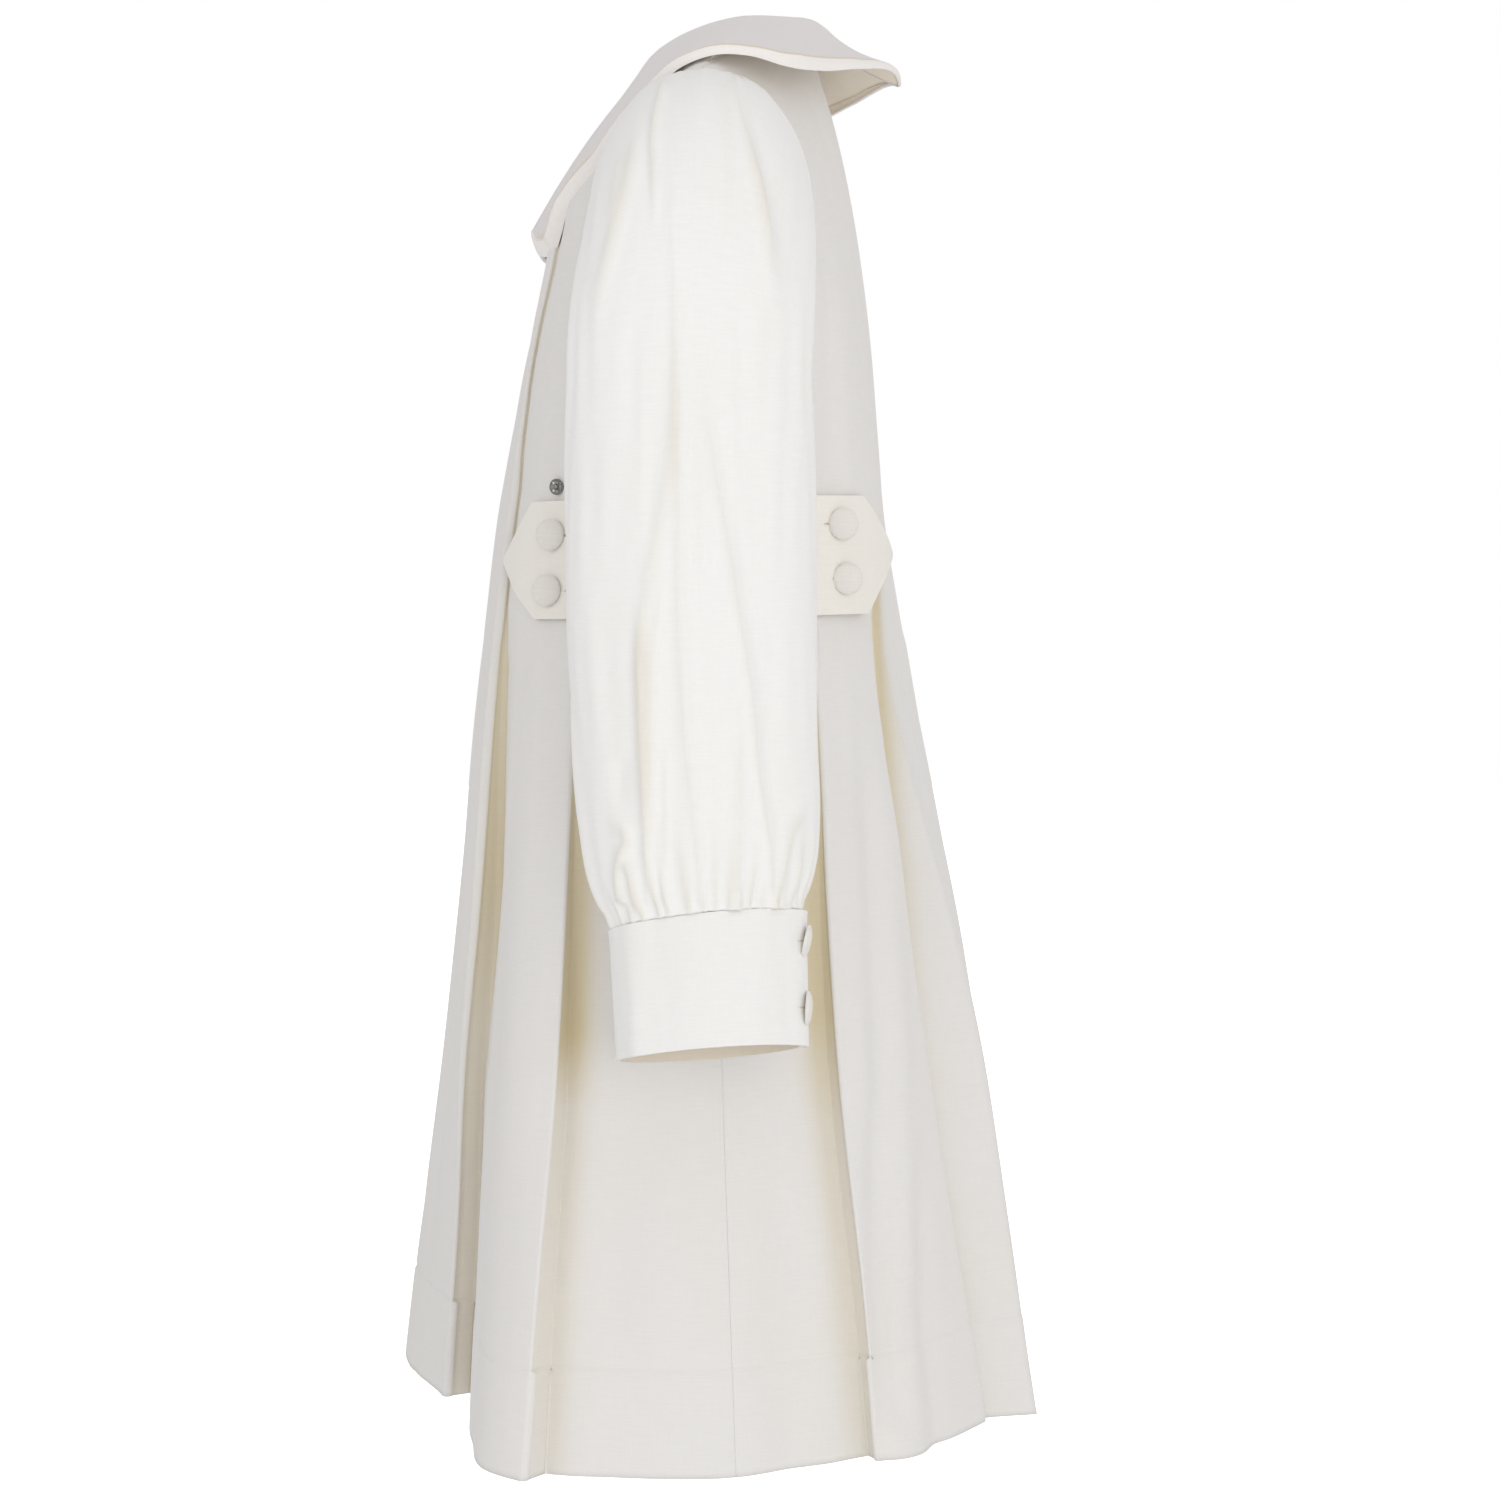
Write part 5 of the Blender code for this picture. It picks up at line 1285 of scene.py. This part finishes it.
def sleeve_rows(seed, creases):
    """Rows of points of a left sleeve, from the armhole down to the cuff, and the shade painted
    into its gathers and creases."""
    random = np.random.default_rng(seed)
    turns = 2 * math.pi * np.arange(SLEEVE_COLUMNS) / SLEEVE_COLUMNS
    angles = turns - SLEEVE_CROWDING * np.sin(turns)
    starts = armhole(angles)
    ends = sleeve_ring(SLEEVE_RINGS[0], angles)
    out = unit(np.stack([np.ones_like(angles), 0 * angles,
                         CAP_FALL + CAP_TOP_RISE * np.cos(angles)], axis=-1))
    reach = np.linalg.norm(ends - starts, axis=1, keepdims=True)
    shares = np.linspace(0.0, 1.0, CAP_STEPS + 1)[:-1, None, None] ** 1.25
    arm_pull = np.concatenate([0 * reach, 0 * reach, reach * CAP_ARM_PULL], axis=1)
    cap = bezier(starts + out * CAP_STAND, starts + out * reach * CAP_PULL, ends + arm_pull, ends,
                 shares)
    places = -SLEEVE_RINGS[:, 0]
    heights = np.linspace(0.0, 1.0, ARM_STEPS + 1)
    heights = mix(places[0], places[-1], 1.0 - (1.0 - heights) ** 1.15)
    rings = at_places(SLEEVE_RINGS, places, heights)
    arm = np.stack([sleeve_ring(ring, angles) for ring in rings])
    rows = np.concatenate([cap, arm])
    normals = -normals_of(rows, closed=True)
    cap_share = np.concatenate([shares[:, 0, 0], np.ones(len(arm))])[:, None]
    steps = np.linalg.norm(np.diff(rows, axis=0, prepend=rows[:1]), axis=-1)
    below_seam = np.cumsum(steps, axis=0)
    above_cuff = below_seam[-1] - below_seam
    near_top = np.flatnonzero(np.abs(turned(angles, 0.0)) < CAP_SHOWN)
    near_top = near_top[np.argsort(starts[near_top, 1])]
    centres = np.interp(CAP_GATHERS, starts[near_top, 1], turned(angles[near_top], 0.0))
    top = seam_gathers(random, angles, below_seam, centres, CAP_GATHER_SIZES)
    top = top * (0.35 + 0.65 * ease(below_seam / 0.003))
    last = SLEEVE_RINGS[-1]
    shown = np.arcsin(np.clip((last[2] - np.array(CUFF_GATHERS)) / last[4], -1, 1))
    centres = np.concatenate([shown, HIDDEN_GATHERS])
    foot = seam_gathers(random, angles, above_cuff, centres, CUFF_GATHER_SIZES)
    foot = foot * (0.45 + 0.55 * ease(above_cuff / 0.005))
    depth, reach = CUFF_TUCK
    puff = (puffed(CAP_PUFF, below_seam) + puffed(CUFF_PUFF, above_cuff)
            - depth * ease(1 - above_cuff / reach))
    folds = fold_depth(angles, rows[..., 2]) * np.clip(cap_share / CAP_PLAIN_SHARE, 0.0, 1.0)
    outward = ease((np.cos(angles) + 0.05) / 0.45)
    seen = press(rows[..., 1:], creases) * outward
    lift = waves(angles[None], rows[..., 2], seed) * SLEEVE_WAVES
    lift = lift * ease(below_seam / SLEEVE_CALM[0]) * ease(above_cuff / SLEEVE_CALM[1])
    rows = rows + normals * (puff - top - foot - folds + seen + lift)[..., None]
    # Shade painted into the creases and gathers, by their depth
    painted_warm_shade = (np.clip((-seen - PAINTED_SHADE_FROM) / PAINTED_SHADE_FADE, 0.0, 1.0) * PAINTED_SHADE_CREASE
            + np.clip((top + foot) / GATHER_DEPTH, 0.0, PAINTED_SHADE_GATHER))
    return rows, painted_warm_shade


for word, seed in (("left", 11), ("right", 23)):
    creases = SLEEVE_CREASES if word == "left" else varied(SLEEVE_CREASES, seed)
    rows, painted_warm_shade = sleeve_rows(seed, creases)
    sleeve = add_sheet("sleeve", word, rows, sleeve_wool, painted_warm_shade, closed=True)
    thicken(sleeve, CLOTH)
    lay_flat(rows, closed=True)


# Cuffs

def cuff_points(turns, shares, lift=0.0):
    """Points on the left cuff, round from its lap and down from its seam, and their ways out."""
    angles = np.radians(turns)
    top = sleeve_ring(SLEEVE_RINGS[-1], angles) - np.array([0.0, 0.0, SEAM_GAP])
    foot = sleeve_ring((SLEEVE_RINGS[-1][0] - CUFF_DEPTH, *CUFF_FOOT_CENTRE, *CUFF_FOOT_HALF,
                        CUFF_FOOT_SLOPE), angles)
    depth, breadth = CUFF_FOOT_HALF
    outward = unit(np.stack([np.cos(angles) / depth, -np.sin(angles) / breadth, 0 * angles],
                            axis=-1))
    lift = np.broadcast_to(lift, np.shape(angles))
    shares = np.asarray(shares)
    points = mix(top, foot, shares[..., None, None]) + outward * lift[..., None]
    return points, outward


def edged_shares(count, length):
    """Shares of a length from 0 to 1, with close ones at its ends for crisp rounded edges."""
    close = np.array((0.0, 0.0003, 0.0008, 0.0018)) / length
    middle = np.linspace(close[-1], 1.0 - close[-1], count - 5)[1:-1]
    return np.concatenate([close, middle, 1.0 - close[::-1]])


def with_close(shares, middles, length):
    """The shares with close ones added round some places, for a narrow slit."""
    added = [middle + step / length for middle in middles for step in SLIT_STEPS]
    clear = [share for share in shares
             if min(abs(share - place) for place in added) * length > CLOSEST_ROWS]
    return np.sort(np.concatenate([clear, added]))


def slits(along, across, spans, places, fade):
    """Depth of buttonhole slits, each along a span at a place across it, and their painted shade.
    """
    depth = np.zeros(np.broadcast(along, across).shape)
    for (start, end), place in zip(spans, places):
        inside = ease((along - start) / fade) * ease((end - along) / fade)
        depth = np.maximum(depth, inside * np.exp(-((across - place) / SLIT_HALF) ** 2))
    return depth * SLIT_DEPTH, depth


def cuff_rows(seed):
    """Rows of points of a left cuff, from its seam down, and the shade painted in its slits."""
    turns = (360.0 + CUFF_LAP) * edged_shares(CUFF_COLUMNS, CUFF_ROUND)
    rise = CUFF_LAP_RISE * ease(np.clip(2.0 - turns / CUFF_LAP, 0.0, 1.0))
    shares = with_close(edged_shares(CUFF_ROWS, CUFF_DEPTH), CUFF_BUTTON_SHARES, CUFF_DEPTH)
    points, outward = cuff_points(CUFF_LAP_START + turns, shares, rise)
    angles = np.radians(CUFF_LAP_START + turns)
    flat = -CUFF_FLATNESS * np.cos(2 * (angles - math.radians(CUFF_FLAT_ANGLE)))
    flat = flat * np.where(np.cos(angles) > 0, 1.0, CUFF_INNER_FLATNESS)
    middle, width, height = CUFF_RIDGE
    flat = flat + rounded((height, width), np.degrees(turned(angles, math.radians(middle))))
    sag = waves(angles[None], points[..., 2] * 2.0, seed) * CUFF_WAVES
    seam = shares[:, None] * CUFF_DEPTH
    height, fade = CUFF_SEAM_PUFF
    puff = height * np.exp(-(seam / fade)) - rounded(CUFF_STITCH, seam - CUFF_STITCH_TOP)
    edge = -rounded(CUFF_STITCH, seam - CUFF_DEPTH + CUFF_STITCH_FOOT)
    pull = 0.0
    for share in CUFF_BUTTON_SHARES:
        aside = (turns[None] - (CUFF_BUTTON_ANGLE - CUFF_LAP_START)) * CUFF_DEGREE
        pull = pull - rounded(CUFF_PULL, np.hypot(aside, (shares[:, None] - share) * CUFF_DEPTH))
    slit, painted_warm_shade = slits(np.degrees(turned(angles, 0.0))[None], seam, [CUFF_SLIT] * 2,
                       np.array(CUFF_BUTTON_SHARES) * CUFF_DEPTH, CUFF_SLIT_FADE)
    slit = np.where(turns > CUFF_LAP * 2, slit, 0.0)
    points = points + outward[None] * (flat[None] + sag + puff + edge + pull - slit)[..., None]
    points[..., 2] += CUFF_FOOT_BEND * (shares ** 2)[:, None] * np.cos(angles)
    return points, painted_warm_shade


for word, seed in (("left", 3), ("right", 7)):
    rows, painted_warm_shade = cuff_rows(seed)
    cuff = add_sheet("cuff", word, rows, cuff_wool, painted_warm_shade)
    line_inside(thicken(cuff, CUFF_CLOTH), cuff)
    lay_flat(rows)


# Collar

def collar_rows():
    """Rows of points of the collar's left half, from the neckline over the roll to its edge."""
    shares = np.linspace(1.0, 0.0, COLLAR_COLUMNS + 1)
    outer = along_string(COLLAR_OUTER, shares)
    edge = np.array(COLLAR_EDGE)
    moves = np.stack([np.interp(shares, edge[:, 0], move) for move in edge[:, 1:].T], axis=1)
    outer[:, 1:] += moves[:, :2]
    roll = along_string(COLLAR_ROLL, shares)
    level = outer - roll
    level[:, 2] = 0.0
    level = unit(level)
    swell = at_places(np.array(COLLAR_SWELLS)[:, None], np.arange(5.0), shares * 4)
    neck = np.concatenate([np.linspace(0.0, NECK_FRONT, 200),
                           np.linspace(NECK_BACK, len(UPPER_EDGE) - 1, 200)])
    neck, _ = upper_edge(neck)
    nearest = np.linalg.norm(neck[None, :, :2] - roll[:, None, :2], axis=-1).argmin(axis=1)
    up = np.array([0.0, 0.0, 1.0])
    foot = neck[nearest] + up * COLLAR_SEAM_RISE - level * COLLAR_SEAM_RISE
    foot[:, 0] = np.maximum(foot[:, 0], COLLAR_OUTER[0][0])
    radius = COLLAR_ROLL_RADIUS
    over = [roll + level * radius * out + up * radius * rise for out, rise in COLLAR_SECTION]
    stand = [foot, mix(foot, roll - level * radius, 0.6) - level * radius * 0.1, *over[:-1]]
    fall = unit(outer - roll)
    way = np.gradient(outer[:, 1:], axis=0)
    side_on = np.stack([0 * way[:, 0], way[:, 1], -way[:, 0]], axis=1)
    side_on = unit(side_on + up * 1e-6)
    held = side_on[np.abs(shares - COLLAR_HOLD).argmin()]
    side_on = np.where(shares[:, None] < COLLAR_HOLD, held, side_on)
    lip = outer + side_on * moves[:, 2:] - fall * COLLAR_RIM_LEAN
    square = unit(np.cross(np.cross(fall, level), fall))
    square = square * np.where(square[:, 2:] < 0, -1.0, 1.0)
    down = [mix(over[-1], lip, part) + square * swell * math.sin(math.pi * part)
            for part in (0.0, 0.25, 0.5, 0.75)]
    rail = np.stack(stand + down + [lip])
    columns = np.swapaxes(rail, 0, 1)
    places = chord_places(columns)
    fallen = np.zeros((COLLAR_ROWS + 1, len(shares), 3))
    steps = np.append(np.linspace(0.0, 0.992, COLLAR_ROWS), 1.0)
    for number, (column, place) in enumerate(zip(columns, places)):
        fallen[:, number] = at_places(column, place, place[-1] * steps)
    outward = unit(np.cross(np.gradient(outer, axis=0), outer - lip))
    outward = outward * np.where(outward[:, :1] < 0, -1.0, 1.0)
    rim = [mix(lip, outer, part) + outward * COLLAR_RIM_SWELL * math.sin(math.pi * part)
           for part in COLLAR_RIM_PARTS]
    return np.concatenate([fallen, np.stack(rim)])


rows = collar_rows()
# A line of shade painted along the crease at the collar's lip, fading out at the front tip
reach, lip_shade_strength = COLLAR_LIP_PAINTED_SHADE
from_back = np.linspace(1.0, 0.0, rows.shape[1])
painted_lip_shade = np.zeros(rows.shape[:2])
painted_lip_shade[COLLAR_ROWS - 1:COLLAR_ROWS + 1] = ease(from_back / reach) * lip_shade_strength
for word, _ in SIDES:
    collar = add_sheet("collar", word, rows, collar_wool, painted_lip_shade)
    # The rim's faces take the collar's cloth painted lighter
    collar.data.materials.append(lit_rim_wool)
    faces = collar.data.polygons
    on_rim = np.arange(len(faces)) >= (COLLAR_ROWS - 1) * (rows.shape[1] - 1)
    faces.foreach_set("material_index", on_rim.astype(np.int32))
    line_inside(thicken(collar, COLLAR_CLOTH), collar)
    lay_flat(rows)


# Side tabs

def panel_way(z):
    """The body's section at a height as a fine string of column numbers and points."""
    points, _, _, _ = lines_at(np.array([z]))
    numbers = np.arange(0.0, points.shape[1] - 1, 1 / 24)
    index = numbers.astype(int)
    return numbers, sections(np.array([z]), index, numbers - index)[0]


def on_body(numbers, heights, out):
    """Points over the left half of the body, moved out, and their outward ways."""
    found = np.zeros((len(numbers), 3))
    ways = np.zeros((len(numbers), 3))
    for place, (number, z) in enumerate(zip(numbers, heights)):
        before = max(number - TANGENT_COLUMNS, float(FIRST_OPEN_LINE))
        wanted = np.array([number, before, number + TANGENT_COLUMNS])
        index = wanted.astype(int)
        near = sections(np.array([z, z + TANGENT_RISE]), index, wanted - index)
        normal = np.cross(near[0, 2] - near[0, 1], near[1, 0] - near[0, 0])
        ways[place] = unit(normal)
        found[place] = near[0, 0]
    return found + ways * np.asarray(out)[:, None], ways


def tab_way():
    """Column numbers under the tab and their distances from its front tip."""
    numbers, points = panel_way(TAB_MIDDLE_Z)
    start = np.flatnonzero((numbers >= FIRST_OPEN_LINE) & (points[:, 0] >= TAB_START_X))[0]
    end = np.flatnonzero((points[:, 1] > 0) & (points[:, 0] <= TAB_END_X))[0]
    return numbers[start:end + 1], chord_places(points[start:end + 1])


def tab_points(way, distances, heights, out):
    """Points of the left tab, at distances from its front tip and heights from its middle line."""
    numbers, places = way
    length = places[-1]
    share = distances / length
    number = np.interp(distances, places, numbers)
    middle = TAB_MIDDLE_Z + TAB_BACK_RISE * share * share * (3 - 2 * share)
    lifted = TAB_TIP_LIFT * np.clip(1.0 - (length - distances) / TAB_POINT, 0.0, 1.0) ** 2
    lifted = lifted + TAB_FRONT_LIFT * np.clip(1.0 - distances / TAB_POINT, 0.0, 1.0) ** 2
    return on_body(number, middle + heights, out + lifted)


def tab_rows():
    """Rows of points of the left tab, from its foot up, and the shade painted in its slits."""
    way = tab_way()
    length = way[1][-1]
    half = (TAB_TOP_Z - TAB_FOOT_Z) / 2
    distances = length * edged_shares(TAB_COLUMNS, length)
    clear = np.full(len(distances), TAB_CLOTH + TAB_STAND)
    middle, _ = tab_points(way, distances, 0 * distances, clear)
    aside = middle[:, 1] - middle[0, 1]
    aside = aside / np.interp(TAB_POINT, distances, aside)
    from_front = np.clip(mix(distances / TAB_POINT, aside, TAB_SIDE_SHARE), 0.0, 1.0)
    from_back = np.clip((length - distances) / TAB_POINT, 0.0, 1.0)
    height = mix(TAB_TIP_HALF, half, np.minimum(from_front, from_back))
    lean = TAB_FRONT_LEAN * from_front * (1.0 - distances / length)
    lean += TAB_BACK_LEAN * from_back * distances / length
    spans = [(from_end, from_end + TAB_SLIT) if end == "front"
             else (length - from_end - TAB_SLIT, length - from_end)
             for end, _, from_end, _ in TAB_BUTTONS]
    rises = [rise for _, _, _, rise in TAB_BUTTONS]
    button_shares = [(rise / half + 1) / 2 for rise in rises]
    rows, painted_warm_shade = [], []
    for side in 2 * with_close(edged_shares(TAB_ROWS, 2 * half), button_shares, 2 * half) - 1:
        from_edge = (1.0 - abs(side)) * height
        line = rounded((TAB_EDGE_DEPTH, TAB_EDGE_HALF), from_edge - TAB_EDGE_LINE)
        slit, painted_deep_shade = slits(distances, np.full(len(distances), side * half), spans, rises,
                           TAB_SLIT_FADE)
        leaning = distances + lean * max(-side, 0.0)
        rows.append(tab_points(way, leaning, side * height, clear - line - slit)[0])
        painted_warm_shade.append(painted_deep_shade)
    return np.stack(rows), np.stack(painted_warm_shade)


rows, painted_warm_shade = tab_rows()
for word, _ in SIDES:
    tab = add_sheet("side_tab", word, rows, tab_wool, painted_warm_shade)
    thicken(tab, TAB_CLOTH)
    lay_flat(rows)


# Buttons and the press stud

def turned_mesh(name, profile, sides):
    """A closed solid turned from a profile of (radius, height), top first."""
    mesh = bpy.data.meshes.new(name)
    bm = bmesh.new()
    rings = []
    for radius, height in profile:
        if radius == 0.0:
            rings.append([bm.verts.new((0.0, 0.0, height))])
            continue
        turns = [2 * math.pi * side / sides for side in range(sides)]
        rings.append([bm.verts.new((radius * math.cos(turn), radius * math.sin(turn), height))
                      for turn in turns])
    for upper, lower in zip(rings, rings[1:]):
        for side in range(sides):
            following = (side + 1) % sides
            corners = [upper[side % len(upper)], lower[side % len(lower)],
                       lower[following % len(lower)], upper[following % len(upper)]]
            bm.faces.new(list(dict.fromkeys(corners)))
    bmesh.ops.recalc_face_normals(bm, faces=bm.faces)
    layer = bm.loops.layers.uv.new("cloth")
    for face in bm.faces:
        for loop in face.loops:
            loop[layer].uv = (loop.vert.co.x, loop.vert.co.y)
    bm.to_mesh(mesh)
    bm.free()
    mesh.shade_smooth()
    return mesh


def button_mesh(name, thick):
    """A covered button: a low dome that turns under at its rim."""
    radius = BUTTON_RADIUS
    reach, fall, bend = BUTTON_DOME
    profile = [(0.0, thick)]
    for step in range(1, BUTTON_STEPS):
        share = step / BUTTON_STEPS
        profile.append((radius * share * reach, thick * (1.0 - fall * share ** bend)))
    profile += [(radius * out, thick * up) for out, up in BUTTON_RIM]
    return turned_mesh(name, profile + [(0.0, 0.0)], BUTTON_SIDES)


def place_disc(mesh, place, outward, side=1):
    """Set a disc down facing outward, on the left side or, mirrored, on the right."""
    place, outward = (Vector((x * side, y, z)) for x, y, z in (place, outward))
    turn = outward.to_track_quat("Z", "Y").to_matrix().to_4x4()
    mesh.transform(Matrix.Translation(place) @ turn)


def add_button(node, place, outward, side, thick=BUTTON_THICKNESS):
    mesh = button_mesh(node + "_cloth", thick)
    place_disc(mesh, place, outward, side)
    add_piece(node + "_cloth", mesh, button_wool, node)


way = tab_way()
for end, level, from_end, rise in TAB_BUTTONS:
    distance = from_end if end == "front" else way[1][-1] - from_end
    place, outward = tab_points(way, np.array([distance]), np.array([rise]),
                                np.array([TAB_CLOTH + TAB_STAND + TAB_BUTTON_SEAT]))
    facing = outward[0] + np.array([BUTTON_TILTS[end], 0.0, 0.0])
    for word, side in SIDES:
        add_button(f"tab_button_{end}_{level}_{word}", place[0], facing, side)
for level, share, facing in zip(("upper", "lower"), CUFF_BUTTON_SHARES, CUFF_BUTTON_WAYS):
    place, _ = cuff_points(np.array([CUFF_BUTTON_ANGLE]), np.array(share),
                           CUFF_LAP_RISE + CUFF_BUTTON_SEAT)
    for word, side in SIDES:
        add_button(f"cuff_button_{level}_{word}", place.reshape(3), facing, side,
                   CUFF_BUTTON_THICKNESS)


def stud_mesh(name):
    """The plate of a sewn-on press stud: a rolled rim, a raised middle and four holes."""
    rings, sides = 26, 72
    reach = STUD_RADIUS * np.linspace(0.0, 1.0, rings + 1)[1:]
    turns = 2 * math.pi * np.arange(sides) / sides
    height = (STUD_RIM * np.exp(-((reach - STUD_RADIUS * 0.9) / (STUD_RADIUS * 0.1)) ** 2)
              + STUD_HUB * ease((STUD_RADIUS * 0.4 - reach) / (STUD_RADIUS * 0.16)))
    points = np.stack([reach[:, None] * np.cos(turns), reach[:, None] * np.sin(turns),
                       np.broadcast_to(height[:, None], (rings, sides))], axis=-1).reshape(-1, 3)
    holes = [(STUD_HOLE_REACH * math.cos(turn), STUD_HOLE_REACH * math.sin(turn))
             for turn in 2 * math.pi * (np.arange(STUD_HOLES) + 0.5) / STUD_HOLES]
    faces = [(side, (side + 1) % sides, rings * sides) for side in range(sides)]
    for ring in range(rings - 1):
        for side in range(sides):
            after = (side + 1) % sides
            corners = (ring * sides + side, (ring + 1) * sides + side, (ring + 1) * sides + after,
                       ring * sides + after)
            middle = points[list(corners), :2].mean(axis=0)
            if min(math.hypot(*(middle - hole)) for hole in holes) > STUD_HOLE_RADIUS:
                faces.append(corners)
    mesh = bpy.data.meshes.new(name)
    mesh.from_pydata([*points.tolist(), (0.0, 0.0, float(height[0]))], [], faces)
    mesh.shade_smooth()
    return mesh


stud_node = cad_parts["press_stud"]
stud_corners = np.array([stud_node.matrix_world @ vertex.co for vertex in stud_node.data.vertices])
stud_middle = (stud_corners.min(axis=0) + stud_corners.max(axis=0)) / 2
stud_way = outward_ways(stud_middle)
stud = add_piece("press_stud_half", stud_mesh("press_stud_half"), stud_metal, "press_stud")
stud_along = np.array([-stud_way[1], stud_way[0], 0.0])
place_disc(stud.data, stud_middle + stud_way * STUD_SEAT + stud_along * STUD_SHIFT,
           stud_way + np.array([STUD_TILT, 0.0, 0.0]))
thicken(stud, STUD_PLATE)


# Stage, lights and camera

FLOOR_HALF = 14.0
FLOOR_Z = -1.45
FLOOR_GLOW = 0.9
# The room's light by the way it comes from: its middle strength, and how it grows towards the
# camera's side, the dress's back and the ceiling.
ROOM_LIGHT = 0.86
ROOM_SLOPE = (0.04, 0.06, -0.26)
CAMERA_PLACE = (2.1929, 0.0, -0.35624)
CAMERA_LENS = 75.369
CAMERA_TILT = 3.218
WHITE = (1.0, 1.0, 1.0)


def add_floor():
    """A pale floor that the camera sees nearly as white as the room."""
    mesh = bpy.data.meshes.new("floor")
    corners = [(-1, -1), (1, -1), (1, 1), (-1, 1)]
    mesh.from_pydata([(x * FLOOR_HALF, y * FLOOR_HALF, FLOOR_Z) for x, y in corners], [],
                     [(0, 1, 2, 3)])
    paint, tree, shader = new_material("pale floor", {
        "Base Color": (0.92, 0.92, 0.92, 1.0), "Roughness": 0.9,
        "Emission Color": (*WHITE, 1.0)})
    seen = add_node(tree, "ShaderNodeLightPath")
    glow = add_node(tree, "ShaderNodeMath", {"operation": "MULTIPLY"}, {1: FLOOR_GLOW})
    join(tree, (seen, "Is Camera Ray", glow, 0), (glow, 0, shader, "Emission Strength"))
    mesh.materials.append(paint)
    add_object("floor", mesh)


def add_light(name, place, target, size, power, colour=WHITE):
    data = bpy.data.lights.new(name, "AREA")
    data.shape = "DISK"
    data.size = size
    data.energy = power
    data.color = colour
    made = add_object(name, data)
    made.location = place
    made.rotation_euler = (Vector(target) - Vector(place)).to_track_quat("-Z", "Y").to_euler()


def light_room():
    """A white room whose light differs by the way it comes from."""
    world = bpy.data.worlds.new("white room")
    world.use_nodes = True
    tree = world.node_tree
    way = add_node(tree, "ShaderNodeTexCoord")
    slope = add_node(tree, "ShaderNodeVectorMath", {"operation": "DOT_PRODUCT"}, {1: ROOM_SLOPE})
    graded = add_node(tree, "ShaderNodeMath", {"operation": "ADD"}, {1: ROOM_LIGHT})
    seen = add_node(tree, "ShaderNodeLightPath")
    strength = add_node(tree, "ShaderNodeMix", {"data_type": "FLOAT"}, {"B": 1.0})
    colour = add_node(tree, "ShaderNodeMix", {"data_type": "RGBA"},
                      {"A": (1.0, 0.99, 0.992, 1.0), "B": (*WHITE, 1.0)})
    background = tree.nodes["Background"]
    join(tree, (seen, "Is Camera Ray", colour, "Factor"), (colour, "Result", background, "Color"),
         (way, "Generated", slope, 0), (slope, "Value", graded, 0), (graded, 0, strength, "A"),
         (seen, "Is Camera Ray", strength, "Factor"),
         (strength, "Result", background, "Strength"))
    bpy.context.scene.world = world


def add_camera():
    data = bpy.data.cameras.new("camera")
    data.lens = CAMERA_LENS
    data.sensor_width = 36.0
    data.clip_end = 60.0
    camera = add_object("camera", data)
    camera.location = CAMERA_PLACE
    camera.rotation_euler = (math.radians(90 - CAMERA_TILT), 0.0, math.radians(90))
    bpy.context.scene.camera = camera


add_floor()
add_light("key", (3.2, 0.9, -0.15), (0.0, 0.0, -0.4), 2.4, 22, (1.0, 0.995, 0.98))
add_light("front fill", (1.3, -1.6, 0.15), (0.1, -0.1, -0.25), 1.2, 3.2)
light_room()
bpy.context.scene.view_settings.view_transform = "Standard"
add_camera()

bpy.context.view_layer.update()
